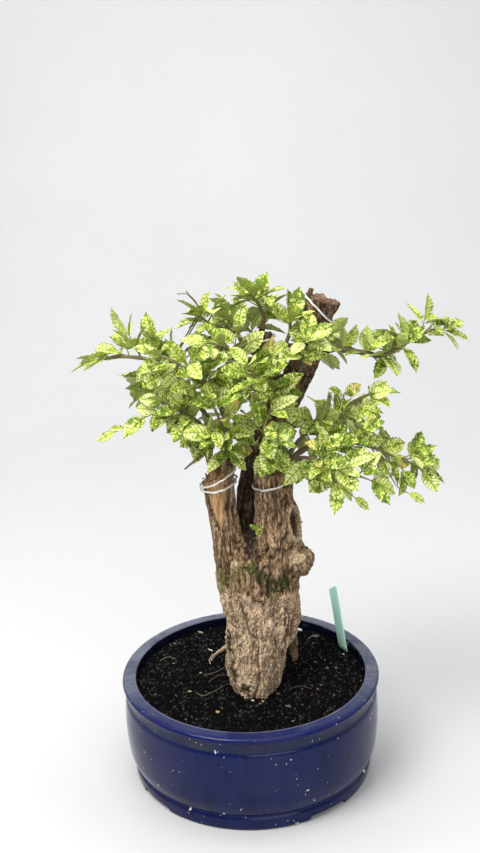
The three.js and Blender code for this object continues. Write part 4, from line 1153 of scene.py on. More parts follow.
# %% Blade patterns
BLADE_FOOT, HALF_THICK, TOOTH_LEAD = 0.1, 0.00026, 0.028  # stalk's end, metres at the midrib, share


def blade_width(t):
    """Half the width of a blade at share t of its length, before its teeth are cut."""
    u = np.clip((t - BLADE_FOOT) / 0.9, 0, 1)
    return 0.82 * u ** 0.74 * (1 - u) ** 0.86


def blade_pattern(name, teeth, bite, fullness):
    """A flat, closed blade: both faces share the toothed edge and stand apart along the midrib."""
    side, rib = [(BLADE_FOOT, 0.018), (0.15, blade_width(0.15) * fullness)], [BLADE_FOOT, 0.15]
    for t in (0.30 + 0.66 * k / teeth for k in range(teeth)):
        point = t - TOOTH_LEAD
        side += [(point, blade_width(point) * fullness + bite), (t, blade_width(t) * fullness - 0.4 * bite)]
        rib.append(t)
    points, faces, under = [], [], []

    def put(t, w, lift):
        points.append((t, w, lift))
        return len(points) - 1

    foot, tip = put(0, 0, 0), put(1, 0, 0)
    edges = {s: [put(t, s * w, 0) for t, w in side] for s in (1, -1)}
    for upper in (1, -1):
        ribs = [foot] + [put(t, 0, upper * HALF_THICK) for t in rib] + [tip]
        for s in (1, -1):
            edge = edges[s]
            strip = [(ribs[0], ribs[1], edge[0]), (ribs[1], ribs[2], edge[1], edge[0])]
            notch = edge[1]
            for k in range(teeth):
                strip.append((ribs[2 + k], ribs[3 + k], edge[3 + 2 * k], notch))
                strip.append((notch, edge[3 + 2 * k], edge[2 + 2 * k]))
                notch = edge[3 + 2 * k]
            strip.append((ribs[2 + teeth], tip, notch))
            faces += [f if s * upper > 0 else f[::-1] for f in strip]
            under += [0.0 if upper > 0 else 1.0] * len(strip)
    mesh = bpy.data.meshes.new(name)
    mesh.from_pydata(points, [], faces)
    keep_attribute(mesh, "blade", points)
    keep_attribute(mesh, "underside", under, "FACE")
    creased(mesh, 180)
    sharp = mesh.attributes.get("sharp_edge") or mesh.attributes.new("sharp_edge", "BOOLEAN", "EDGE")
    sharp.data.foreach_set("value", [all(abs(points[v][1]) < 1e-6 for v in e.vertices)
                                     or all(points[v][2] == 0 for v in e.vertices) for e in mesh.edges])
    return mesh


patterns = bpy.data.collections.new("blade_patterns")
PATTERN_CUTS = [  # name, teeth a side, bite of a tooth, fullness
    ("blade_a", 6, 0.030, 0.96), ("blade_b", 5, 0.034, 0.86), ("blade_c", 6, 0.028, 1.10),
    ("blade_d", 5, 0.030, 0.70)]
PATTERN_SHAPES = []
for name, teeth, bite, fullness in PATTERN_CUTS:
    mesh = blade_pattern(name, teeth, bite, fullness)
    patterns.objects.link(bpy.data.objects.new(name, mesh))
    PATTERN_SHAPES.append((np.array([v.co for v in mesh.vertices]), [p.vertices[:] for p in mesh.polygons]))
print("blade patterns with", [len(faces) for _, faces in PATTERN_SHAPES], "faces")

# %% [markdown]
# ## Spray tree
#
# A spray's plan holds two kinds of points: those joined by edges are its wood, and the loose ones
# are leaves. The tree separates them, sends the wood through the round stock tree, and sets a blade
# on every leaf point. The bend is written as one sum: out along the leaf, across it, and up from it
# by fold, twist, droop and ripple.

# %% Build the spray tree
spray_tree, nodes, given, result = geometry_tree("leafy_spray", {
    "Blades": ("Collection", None), "Ripple": ("Float", 0.05), "Twig Sides": ("Int", 6),
    "Leaf Finish": ("Material", None), "Wood Finish": ("Material", None)})


def picked(nodes, collection):
    """The objects of a collection as separate instances."""
    sockets = {"Collection": collection, "Separate Children": True, "Reset Children": True}
    return nodes.add("GeometryNodeCollectionInfo", sockets)


parted = nodes.add("GeometryNodeSeparateGeometry", {
    "Geometry": given["Geometry"], "Selection": named(nodes, "is_leaf", "BOOLEAN")}, out=None, domain="POINT")
wood = nodes.add("GeometryNodeGroup", {
    "Geometry": parted.outputs["Inverted"], "Sides": given["Twig Sides"], "Finish": given["Wood Finish"]},
    node_tree=stock_tree)
blades = nodes.add("GeometryNodeInstanceOnPoints", {
    "Points": parted.outputs["Selection"], "Instance": picked(nodes, given["Blades"]), "Pick Instance": True,
    "Instance Index": named(nodes, "kind", "INT")})
blades = nodes.add("GeometryNodeRealizeInstances", {"Geometry": blades})
fold, twist, droop, tone, size = (named(nodes, n) for n in ("fold", "twist", "droop", "tone", "length"))
t, w, lift = nodes.split(named(nodes, "blade", "FLOAT_VECTOR"))
wide = abs(w)
swell = nodes.maths("SINE", t * 19.0 + tone * 40.0)
rise = fold * wide + twist * (w * t) - droop * (t * t) + swell * wide * given["Ripple"]
spot = named(nodes, "base", "FLOAT_VECTOR")
for way, length in (("along", size * t), ("across", size * w), ("facing", rise * size + lift)):
    spot = nodes.vectors("ADD", spot, nodes.vectors("SCALE", named(nodes, way, "FLOAT_VECTOR"), length))
blades = nodes.add("GeometryNodeSetPosition", {"Geometry": blades, "Position": spot})
blades = nodes.add("GeometryNodeSetMaterial", {"Geometry": blades, "Material": given["Leaf Finish"]})
both = nodes.add("GeometryNodeJoinGeometry", out=None)
for part in (blades, wood):
    nodes.fill(both.inputs[0], part)
nodes.fill(result, nodes.add("GeometryNodeRealizeInstances", {"Geometry": both.outputs[0]}))

# %% [markdown]
# ## Leaf finish
#
# Each blade is lime green, mottled with cream in small marbled patches, with darker green between
# them and along the veins. The blade's own coordinates carry the pattern, so veins run from the midrib to
# the teeth wherever the leaf goes. One number per leaf shifts the whole leaf from cream through
# lime to dark green, as on the real tree, and a few young ones are yellow. The underside is paler.

# %% Leaf finish
leaf_skin, nodes = new_material("variegated_leaf")
t, w, _ = nodes.split(nodes.attribute("blade", "Vector"))
tone, size = nodes.attribute("tone"), nodes.attribute("length")
spot, wide = nodes.joined(t * size, w * size, tone * 0.7), abs(w)
vein_wave = nodes.maths("PINGPONG", t - wide * 0.62 + 0.03, 0.062)
veins = nodes.most(vein_wave.span(0.018, 0.004), wide.span(0.024, 0.006))
marble = nodes.cloud(spot, 180, 3, 0.58, 1.7, stretch=(1, 0.75, 1)).span(0.32, 0.68)
blotch = nodes.cloud(spot, 110, 3, 0.6, 0.4).span(0.35, 0.65)
net = nodes.cells(spot, 430, "DISTANCE_TO_EDGE").span(0.03, 0.2)
margin = (wide + t * 0.12).span(0.08, 0.3)
lime = nodes.mixed(blotch, (0.52, 0.62, 0.035), (0.81, 0.87, 0.155))
green = nodes.mixed(blotch, (0.038, 0.086, 0.009), (0.165, 0.275, 0.024))
cream = nodes.mixed(blotch, (0.92, 0.95, 0.46), (0.87, 0.92, 0.33))
greenness = (marble + tone * 0.75).span(0.83, 1.19)
creaminess = (marble + tone * 0.62 - margin * 0.28).span(0.66, 0.34)
flush = nodes.attribute("young") * (marble.span(0.0, 1.0, 0.85, 0.2) * t.span(0.25, 0.95))
colour = nodes.layered(
    lime, (greenness * 0.95, green), (creaminess * 0.95, cream), ((1 - net) * 0.36, green),
    (veins * 0.85, green), (flush, nodes.mixed(t, (0.88, 0.82, 0.22), (0.80, 0.50, 0.17))))
below = nodes.mixed(0.5, colour, (0.36, 0.45, 0.13))
nodes.finish(nodes.mixed(nodes.attribute("underside"), colour, below), blotch.span(0.3, 0.7, 0.42, 0.6),
             bumped(vein_wave * 9.0 + net * 0.35, 0.45, 0.7), 0.35)

young_wood, nodes = new_material("young_wood")
place = nodes.here()
streaks = nodes.cloud(place, 420, 4, 0.6)
green_twig = nodes.mixed(streaks, (0.17, 0.20, 0.045), (0.38, 0.38, 0.12))
brown_twig = nodes.mixed(streaks, (0.040, 0.024, 0.016), (0.24, 0.155, 0.10))
nodes.finish(nodes.mixed(nodes.attribute("oldness"), green_twig, brown_twig), 0.75,
             bumped(fine_grain(place, 1300), 0.3, 0.6))


# %% [markdown]
# ## Where the leaves go
#
# Leaves stand in pairs, each pair turned a quarter from the last, with one leaf at the tip of the
# shoot, and every leaf turns its face up and out of the crown. The numbers that vary come from a
# small repeatable generator with one seed per shoot. The listed shoots set the crown's outline;
# short extra shoots along the same branches fill it.

# %% Repeatable numbers and leaf rows
def repeatable(seed):
    """A small generator of numbers from 0 to 1, the same ones for the same seed."""
    state, full = seed & 0xFFFFFFFF, 0xFFFFFFFF

    def draw():
        nonlocal state
        state = (state + 0x6D2B79F5) & full
        mixed = ((state ^ (state >> 15)) * (state | 1)) & full
        mixed ^= (mixed + (((mixed ^ (mixed >> 7)) * (mixed | 61)) & full)) & full
        return (mixed ^ (mixed >> 14)) / 4294967296
    return draw


CROWN_CENTRE, CROWN_STRETCH = Vector((10, 10, 385)), Vector((0.5, 1.6, 0.4))
UP = Vector((0, 0, 1))
LEAF_LENGTH, EXTRA_LEAF_LENGTH, PAIR_GAP = 28.0, 24.0, 12
TIP_OPENING, PAIR_OPENING = 0.1, 0.82  # how far a leaf leans away from its twig, in radians


def turned_about(vector, axis, angle):
    return Quaternion(axis, angle) @ vector


def out_of_crown(place):
    return Vector(a * b for a, b in zip(place - CROWN_CENTRE, CROWN_STRETCH)).normalized()


def squared(facing, along):
    """The facing without what lies along the leaf."""
    return (facing - along * facing.dot(along)).normalized()


def leaf_row(start, end, stem, draw, most_leaves, length):
    """Leaves of one shoot, from its tip inwards."""
    ahead = (end - start).normalized()
    level = UP.cross(ahead).normalized()
    leaves = []

    def add(distance, turn, opening):
        d = [draw() for _ in range(5)]
        base = start + ahead * distance
        side = turned_about(level, ahead, turn + 0.5 * (d[0] - 0.5))
        angle = opening + 0.3 * (d[1] - 0.5)
        along = (ahead * math.cos(angle) + side * math.sin(angle) + UP * -0.12).normalized()
        facing = UP * 0.85 + out_of_crown(base) * 0.8 + Vector((d[2] - 0.5, d[3] - 0.6, d[4] - 0.5)) * 0.95
        spread = (0.86 + 0.26 * d[1]) if opening == TIP_OPENING else (0.80 + 0.44 * d[1])
        leaves.append({
            "base": base, "along": along, "facing": squared(facing, along), "ahead": ahead,
            "length": length * spread, "fold": 0.2 + 0.2 * d[2], "droop": 0.08 + 0.14 * d[3],
            "twist": 0.25 * (d[4] - 0.5), "tone": (7.3 * d[0] + 3.1 * d[2]) % 1})

    add(max(stem - 2, 0), 0, TIP_OPENING)
    turn, distance = 0.4, max(stem - 3, 0)
    while distance >= 0 and len(leaves) < most_leaves:
        add(distance, turn, PAIR_OPENING)
        add(distance, turn + math.pi, PAIR_OPENING)
        turn += math.pi / 2
        distance -= PAIR_GAP
    return leaves[:most_leaves]


# %% [markdown]
# No leaf may grow through the trunk, a wire, or much of another leaf. Every leaf is tried in a few
# turns about its own stalk and its twig until it clears what is already there, and one that never
# clears is left out. The first leaves of a listed shoot matter most for the outline, so they may at
# last cross other leaves, but never the wood.

# %% Try a leaf until it clears
TURNS = [  # turn about the leaf's own length and about its twig
    (0, 0), (0.35, 0), (-0.35, 0), (0, 0.45), (0, -0.45), (0.7, 0.3), (-0.7, -0.3), (0.3, 0.9), (-0.3, -0.9)]
LEAF_REACH = 26  # leaves whose middles are further apart than this aren't compared
placed = []


def bent_blade(leaf):
    """The leaf's points in millimetres, by the spray tree's sum without its small ripple."""
    shape, faces = PATTERN_SHAPES[leaf["kind"]]
    t, w, lift = shape[:, 0:1], shape[:, 1:2], shape[:, 2:3] / MM
    rise = leaf["fold"] * np.abs(w) + leaf["twist"] * w * t - leaf["droop"] * t * t
    along, facing = np.array(leaf["along"]), np.array(leaf["facing"])
    across, size = np.cross(facing, along), leaf["length"]
    return np.array(leaf["base"]) + size * (t * along + w * across) + (size * rise + lift) * facing, faces


def clears(leaf, others_too):
    """The leaf's middle and tree if it touches nothing, else None."""
    points, faces = bent_blade(leaf)
    tree = BVHTree.FromPolygons(in_frame(points).tolist(), faces)
    centre = points.mean(axis=0)
    if any(tree.overlap(solid) for solid in [trunk_tree] + wire_trees):
        return None
    if others_too and any(all(abs(a - b) < LEAF_REACH for a, b in zip(other_centre, centre))
                          and tree.overlap(other_tree) for other_centre, other_tree in placed):
        return None
    return centre, tree


def in_picture(place):
    """The picture point of a place that is given in millimetres from the axis."""
    way = Vector(place) - (EYE - AXIS) / MM
    return (PICTURE_CENTRE[0] + FOCAL_PIXELS * way.dot(RIGHT) / way.dot(AHEAD),
            PICTURE_CENTRE[1] - FOCAL_PIXELS * way.dot(ABOVE) / way.dot(AHEAD))


OPEN_VIEWS = [  # left, top, right, bottom of what the picture shows free of leaves
    (202, 464, 234, 500), (236, 466, 251, 510), (305, 292, 333, 328), (298, 372, 318, 404),
    (332, 364, 378, 384), (318, 358, 346, 380), (273, 321, 295, 350), (240, 316, 253, 331),
    (263, 306, 270, 320), (257, 430, 267, 443), (212, 318, 234, 330), (188, 405, 206, 424),
    (398, 345, 480, 420)]
BEHIND = 20  # leaves further back than this may show in an opening


def hides_a_view(leaf):
    for share in (0.35, 0.6, 0.85):
        spot = leaf["base"] + leaf["along"] * leaf["length"] * share
        u, v = in_picture(spot)
        if spot.y < BEHIND and any(left < u < right and top < v < bottom
                                   for left, top, right, bottom in OPEN_VIEWS):
            return True
    return False


def settle(leaf):
    """The leaf in its first turn that clears, or None."""
    for others_too in (True,) if leaf["extra"] else (True, False):
        for roll, swing in TURNS:
            along = turned_about(leaf["along"], leaf["ahead"], swing)
            facing = turned_about(turned_about(leaf["facing"], leaf["ahead"], swing), along, roll)
            tried = dict(leaf, along=along, facing=facing)
            room = not (leaf["rank"] and hides_a_view(tried)) and clears(tried, others_too)
            if room:
                placed.append(room)
                return tried
    return None


# %% Plan every spray
EXTRA_SHOOTS = {
    "left_high": 7, "left_mid": 8, "left_low": 5, "front_left": 6, "front_mid": 5, "centre": 7, "mid": 6,
    "top": 4, "top_left": 5, "top_right": 2, "over_stub": 2, "long_right": 6, "right_mid": 5, "right_low": 6,
    "right_front": 5, "back_left": 6, "back_right": 6, "back_mid": 6, "back_top": 5, "back_out": 4}
BOX_LOW, BOX_HIGH = ((np.array(corner) - np.array(AXIS)) / MM for corner in CAD_BOX)
BOX_MARGIN, SHORTEST_TWIG, TIP_OVERHANG = 3, 7, 0.8  # the overhang as a share of a leaf's length
BRANCH_END, TWIG_START, TWIG_END = 1.1, 0.85, 0.55  # half thicknesses
NEW_WOOD, TWIG_WOOD, OLD_WOOD = 0.0, 0.55, 1.0  # how brown the wood is
BRANCH_KNOTS, RIPPLE, FULL_SHOOT = 0.42, 0.05, 5
leaf_total = 0


def branch_line(name, path, steps_per_span=8):
    """The branch as many points, and the place at any share of its length."""
    inside, mouth = (Vector(p) for p in COLLARS[name])
    out = (mouth - inside).normalized()
    knots = [mouth - out * 1.5, mouth + out * 4.35] + [Vector(p) for p in path]
    count = steps_per_span * (len(knots) - 1)
    smooth = smooth_line(knots, count, 0.5)
    lengths = np.concatenate([[0], np.cumsum([np.linalg.norm(b - a) for a, b in zip(smooth, smooth[1:])])])

    def place(share):
        target = share * lengths[-1]
        i = max(min(int(np.searchsorted(lengths, target)), count), 1)
        part = (target - lengths[i - 1]) / (lengths[i] - lengths[i - 1])
        return Vector(smooth[i - 1] + (smooth[i] - smooth[i - 1]) * part)
    return smooth, place


class Plan:
    """Points, edges and per-point numbers of one spray."""

    BLANK = {"is_leaf": False, "kind": 0,
             **dict.fromkeys("length fold twist droop tone young thickness oldness".split(), 0.0),
             **dict.fromkeys("base along across facing".split(), (0, 0, 0))}

    def __init__(self):
        self.points, self.edges, self.rows = [], [], []

    def twig(self, line, thick, thin, old_start, old_end, knots=0.0):
        first = len(self.points)
        for i, point in enumerate(line):
            share = i / (len(line) - 1)
            swelling = 1 + knots * (noise.noise(point / 4.5) + 0.15)
            self.points.append(tuple(point))
            self.rows.append({"thickness": (thick + (thin - thick) * share) * swelling * MM,
                              "oldness": old_start + (old_end - old_start) * share})
            if i:
                self.edges.append((first + i - 1, first + i))

    def leaf(self, leaf):
        self.points.append(tuple(leaf["base"]))
        across = leaf["facing"].cross(leaf["along"])
        self.rows.append(dict(leaf, is_leaf=True, length=leaf["length"] * MM,
                              base=tuple(in_frame(leaf["base"])), along=tuple(leaf["along"]),
                              across=tuple(across), facing=tuple(leaf["facing"])))

    def mesh(self, name):
        columns = {key: np.array([row.get(key, value) for row in self.rows])
                   for key, value in self.BLANK.items()}
        plan = plan_of(name + "_plan", in_frame(self.points), self.edges, **columns)
        return grown(plan, spray_tree, blades=patterns, ripple=RIPPLE, twig_sides=6, leaf_finish=leaf_skin,
                     wood_finish=young_wood)


def add_shoot(plan, start, end, draw, most_leaves, length, extra=False):
    """A shoot's twig and those of its leaves that find room. Gives how many did."""
    ahead, reach = (end - start).normalized(), (end - start).length - TIP_OVERHANG * LEAF_LENGTH
    stem = 0 if reach < SHORTEST_TWIG else reach
    kept = 0
    for k, leaf in enumerate(leaf_row(start, end, stem, draw, most_leaves, length)):
        tone = leaf["tone"]
        young = 1.0 if (tone * 53) % 1 < 0.05 else 0.0
        # Leaves higher in the crown get a lighter lime tone: paler new growth, with painted light from above
        # as well.
        leaf.update(kind=int(tone * 97) % len(PATTERN_CUTS), extra=extra or k > 2,
                    rank=k + (1 if extra else 0), young=young,
                    tone=tone * (1 - 0.35 * min(max((leaf["base"].z - 400) / 80, 0), 1)))
        leaf["length"] *= (0.86 if k > 2 else 1.0) * (0.7 if young and k else 1.0)
        tip = np.array(leaf["base"] + leaf["along"] * leaf["length"])
        if leaf["extra"] and (np.any(tip < BOX_LOW + BOX_MARGIN) or np.any(tip > BOX_HIGH - BOX_MARGIN)):
            continue
        settled = settle(leaf)
        if settled:
            plan.leaf(settled)
            kept += 1
    if kept and stem:
        plan.twig([start.lerp(start + ahead * stem, i / 4) for i in range(5)],
                  TWIG_START, TWIG_END, TWIG_WOOD, NEW_WOOD)
    return kept


spray_plans = {}
for index, (name, radius, path, shoots) in enumerate(SPRAYS):
    plan = Plan()
    smooth, place_on = branch_line(name, path)
    plan.twig([Vector(p) for p in smooth], radius * 1.02, BRANCH_END, OLD_WOOD, TWIG_WOOD, BRANCH_KNOTS)
    for k, (share, *end) in enumerate(shoots):
        leaf_total += add_shoot(plan, place_on(share * 0.97), Vector(end), repeatable(100 * (index + 1) + k),
                                FULL_SHOOT if share > 0.5 else FULL_SHOOT - 1, LEAF_LENGTH)
    spray_plans[name] = (plan, place_on, index)
print("leaves on the listed shoots:", leaf_total)

# %% [markdown]
# Not every twig bears leaves. Some are bare and forked, one is a blunt cut end, and a few end in one
# or two narrow leaves. Each starts on its branch; its other points are given as the picture shows
# them, at a chosen depth.

# %% Bare twigs
def in_view(u, v, depth):
    """The place on a sight line that is at a given depth, in millimetres from the axis."""
    way, eye = sight(u, v), (EYE - AXIS) / MM
    return eye + way * ((depth - eye.y) / way.y)


BARE_TWIGS = [  # spray, share of its branch, picture points with depth, thickness, leaves at the end
    ("left_high", 0.62, [(198, 312, 12), (186, 291, 14)], 0.8, 0),
    ("left_high", 0.62, [(199, 316, 12), (188, 295, 13), (177, 294, 14)], 0.7, 0),
    ("left_high", 0.97, [(122, 354, 0), (99, 359, -4)], 0.7, 2),
    ("left_low", 0.75, [(158, 412, -34), (115, 432, -38)], 0.6, 2),
    ("left_low", 0.5, [(182, 410, -40), (161, 401, -46)], 0.7, 0),
    ("left_low", 0.1, [(200, 456.5, -30), (184.6, 469.3, -34)], 1.3, 0),
    ("right_mid", 0.35, [(335, 411.7, -12), (352, 401, -14), (370, 393, -14)], 0.6, 1),
    ("right_front", 0.25, [(322, 472, -58), (354, 497, -62)], 0.65, 1),
    ("right_low", 0.7, [(396, 485, -42), (408, 493, -44)], 0.6, 1),
    ("top", 0.6, [(249, 301, 12), (245, 296, 10)], 0.6, 1),
    ("mid", 0.5, [(226, 352, -40), (243, 345, -44), (262, 338, -40)], 0.6, 0),
    ("right_mid", 0.6, [(340, 405, -30), (345, 392, -34)], 0.6, 0),
]
NARROW_BLADE = 3
for name, share, route, thick, tips in BARE_TWIGS:
    plan, place_on, index = spray_plans[name]
    line = [tuple(place_on(share))] + [tuple(in_view(*point)) for point in route]
    smooth = [Vector(p) for p in smooth_line(line, 5 * len(route), 0.4)]
    plan.twig(smooth, thick, 0.7 * thick, 0.75, 0.55 if tips else 0.9, knots=0.25)
    ahead = (smooth[-1] - smooth[-2]).normalized()
    for k in range(tips):
        along = (ahead + Vector((0, 0, 0.35 * k))).normalized()
        facing = squared(Vector((0.25 * (-1) ** k, -0.8, 0.6)), along)
        plan.leaf({"base": smooth[-1] - ahead * (1 + 9 * k), "along": along, "facing": facing,
                   "kind": NARROW_BLADE, "length": 20.0 - 5 * k, "fold": 0.3, "twist": 0.1, "droop": 0.1,
                   "tone": 0.35 + 0.2 * k, "young": 0.6 * k})


# %% [markdown]
# The extra shoots come second, so that they fill only the room that is left.

# %% Fill the crown and grow the sprays
for name, (plan, place_on, index) in spray_plans.items():
    draw, count = repeatable(9000 + 37 * index), EXTRA_SHOOTS[name]
    for k in range(count):
        start = place_on(0.25 + 0.72 * (k + draw()) / count)
        way = out_of_crown(start) * 0.7 + Vector((draw() - 0.5, draw() - 0.5, draw() - 0.35)) * 1.9
        end = start + way.normalized() * (30 + 14 * draw())
        leaf_total += add_shoot(plan, start, end, draw, FULL_SHOOT, EXTRA_LEAF_LENGTH, extra=True)
    piece("leafy_spray_" + name, plan.mesh(name), "leaf", "spray_" + name)
print("leaves in all:", leaf_total)

# %% [markdown]
# A new shoot breaks from the old bark in the fork: a few small, broad leaves. It uses the same tree
# as the sprays.

# %% Sprout on the trunk
sprout = Plan()
root = Vector(seen_on(trunk_tree, 256, 531))
sprout.twig([root + Vector(step) for step in ((0, 1, -1), (0, -1, 1.5), (0, -2, 3))], 0.7, 0.5, 0.3, 0.1)
for turn, size in ((0.5, 9.0), (2.3, 8.0), (-1.1, 7.5)):
    along = Vector((0.9 * math.cos(turn), -0.35, 0.9 * math.sin(turn))).normalized()
    sprout.leaf({"base": root + Vector((0, -1.8, 2.5)), "along": along,
                 "facing": squared(Vector((0, -1, 0.35)), along), "kind": 2, "length": size,
                 "fold": 0.25, "twist": 0.0, "droop": 0.2, "tone": 0.85, "young": 0.0})
piece("trunk_sprout", sprout.mesh("sprout"), "leaf")

# %% [markdown]
# ## Soil
#
# The soil is black and crumbly, a little mounded, and fills the pot to just below its rim. Its body
# is turned like the pot; the crumbs on top are a few lumpy grains, scattered thousands of times by a
# geometry tree with a fixed seed.

# %% Soil body
SOIL_LEVEL, SOIL_SECTORS = 95, 96


def soil_height(x, y):
    """The soil's surface: a low mound with ripples, in millimetres."""
    ripple = noise.noise((x / 17, y / 17, 0.3)) + 0.6 * noise.noise((x / 6, y / 6, 4.0))
    return SOIL_LEVEL - 1.0 + 0.8 * ripple + 0.9 * math.cos(min(math.hypot(x, y) / 114, 1) * math.pi / 2)


rings = []  # where no height is given, the ring follows the soil's surface
soil_rings = [(97.6, 15.4), (112.8, 24.4), (113.8, 60), (113.9, None)]
for r, z in soil_rings + [(r, None) for r in np.linspace(112, 3, 34)]:
    circle = [(r * math.cos(a), r * math.sin(a)) for a in round_angles(SOIL_SECTORS)]
    rings.append([(x, y, soil_height(x, y) if z is None else z) for x, y in circle])
soil_points, soil_faces = closed_rings(rings)
loam, nodes = new_material("black_loam")
place = nodes.here()
crumble, shade = nodes.cloud(place, 420, 6, 0.7), nodes.attribute("shade")
colour = nodes.layered(
    nodes.mixed(crumble, (0.0008, 0.0008, 0.0010), (0.0055, 0.005, 0.0052)),
    (shade.span(0.72, 0.99) * 0.9, (0.064, 0.061, 0.062)),
    (shade.span(0.991, 0.994) * 0.8, (0.24, 0.19, 0.13)),
    (patches(place, 900, 0.66, 0.03) * 0.12, (0.16, 0.13, 0.10)))
nodes.finish(colour, crumble.span(0.3, 0.7, 0.6, 0.95), bumped(crumble, 1.6, 0.9), 0.05)
soil_mesh = plain_mesh("soil_body", in_frame(soil_points), soil_faces, loam)
outward_faces(soil_mesh)
piece("soil_body", soil_mesh, "soil", "soil")

# %% Scatter tree
def lumpy_grain(name, seed):
    """An uneven pebble, longer than it is wide or high."""
    mesh = bpy.data.meshes.new(name)
    shell = bmesh.new()
    bmesh.ops.create_icosphere(shell, subdivisions=1, radius=1.0)
    for vertex in shell.verts:
        vertex.co *= 1 + 0.38 * noise.noise(vertex.co * 1.3 + Vector((seed, 2 * seed, 0)))
        vertex.co = vertex.co * Vector((1.35, 0.85, 0.8))
    shell.to_mesh(mesh)
    shell.free()
    return bpy.data.objects.new(name, mesh)


def drawn(nodes, kind, low, high, seed):
    """A random value of its own for every point."""
    first, out = {"FLOAT_VECTOR": (0, 0), "FLOAT": (2, 1)}[kind]
    sockets = {first: low, first + 1: high, "Seed": seed}
    return nodes.add("FunctionNodeRandomValue", sockets, out=out, data_type=kind)


scatter_tree, nodes, given, result = geometry_tree("scatter", {
    "Pieces": ("Collection", None), "Density": ("Float", 1000.0), "Smallest": ("Float", 0.5),
    "Largest": ("Float", 1.0), "Seed": ("Int", 7), "Finish": ("Material", None)})
sown = nodes.add("GeometryNodeDistributePointsOnFaces", {
    "Mesh": given["Geometry"], "Density": given["Density"] * named(nodes, "sowing"), "Seed": given["Seed"]},
    out=None, distribute_method="RANDOM")
spin = drawn(nodes, "FLOAT_VECTOR", (-3.1, -3.1, -3.1), (3.1, 3.1, 3.1), 3)
seat = nodes.add("FunctionNodeRotateRotation", {0: sown.outputs["Rotation"], 1: spin}, rotation_space="LOCAL")
bits = nodes.add("GeometryNodeInstanceOnPoints", {
    "Points": sown.outputs["Points"], "Instance": picked(nodes, given["Pieces"]), "Pick Instance": True,
    "Rotation": seat, "Scale": drawn(nodes, "FLOAT", given["Smallest"], given["Largest"], 11)})
bits = nodes.add("GeometryNodeStoreNamedAttribute", {
    "Geometry": bits, "Name": "shade", "Value": drawn(nodes, "FLOAT", 0.0, 1.0, 17)},
    data_type="FLOAT", domain="INSTANCE")
nodes.fill(result, real_with_finish(nodes, bits, given["Finish"]))


def scattered(ground, sowing, density, smallest_mm, largest_mm, seed, finish):
    """Grains scattered over a copy of a mesh, densest where sowing is 1."""
    copy = ground.copy()
    keep_attribute(copy, "sowing", sowing)
    return grown(in_scene("scatter_plan", copy), scatter_tree, pieces=grains, density=density,
                 smallest=smallest_mm * MM, largest=largest_mm * MM, seed=seed, finish=finish)


# %% Crumbs of soil
grains = bpy.data.collections.new("grains")
for k in range(3):
    grains.objects.link(lumpy_grain(f"grain_{k}", 1.7 * k))
CRUMBS_A_SQUARE_METRE, MOSS_A_SQUARE_METRE = 235000.0, 1500000.0
LABEL_SPOT, LABEL_CLEARING = (97.5, 50), 7  # the label has pushed the crumbs away
soil_at = mesh_places(soil_mesh)
on_top = (soil_at[:, 2] > 88) & (np.hypot(soil_at[:, 0], soil_at[:, 1]) < 112.5)
on_top &= np.hypot(soil_at[:, 0] - LABEL_SPOT[0], soil_at[:, 1] - LABEL_SPOT[1]) > LABEL_CLEARING
piece("soil_crumbs", scattered(soil_mesh, on_top * 1.0, CRUMBS_A_SQUARE_METRE, 0.5, 1.6, 7, loam), "soil")

# %% [markdown]
# Moss sits on the bark in cushions, so it stands proud of it. The same scatter tree sows tiny grains
# where the trunk's moss masks are strong; the points carry the masks along, and they choose between
# the yellow-green and the dark kind.

# %% Moss cushions
moss, nodes = new_material("bark_moss")
shade = nodes.attribute("shade")
fresh = nodes.mixed(shade, (0.075, 0.092, 0.022), (0.28, 0.28, 0.085))
old_moss = nodes.mixed(shade, (0.008, 0.014, 0.005), (0.055, 0.080, 0.020))
nodes.finish(nodes.mixed(nodes.attribute("moss_light"), old_moss, fresh), 0.9,
             bumped(fine_grain(nodes.here(), 2500), 0.2, 0.8), 0.2)
sown_moss = np.maximum(eased(moss_light, 0.3, 0.95) * 0.55, eased(moss_dark, 0.3, 0.9) * 0.8) * (sawn < 0.1)
sown_moss = sown_moss * eased(fine_ragged, -0.45, 0.2)
piece("moss_cushions", scattered(trunk_mesh, sown_moss, MOSS_A_SQUARE_METRE, 0.3, 0.8, 21, moss), "trunk")

# %% [markdown]
# Small things lie on the soil: grains of white perlite, scraps of dry leaf and bark, and fine dead
# roots. Each is put where the picture shows it, low among the crumbs.

# %% Scraps on the soil
SCRAP_LIMIT = 108  # how far from the axis a scrap or root may lie


def on_soil(u, v):
    """Where a sight line meets the soil, in millimetres from the axis, kept clear of the pot's wall."""
    way, eye, level = sight(u, v), (EYE - AXIS) / MM, SOIL_LEVEL
    for _ in range(4):
        spot = eye + way * ((level - eye.z) / way.z)
        level = soil_height(spot.x, spot.y)
    inward = min(1, SCRAP_LIMIT / math.hypot(spot.x, spot.y))
    return Vector((spot.x * inward, spot.y * inward, level))


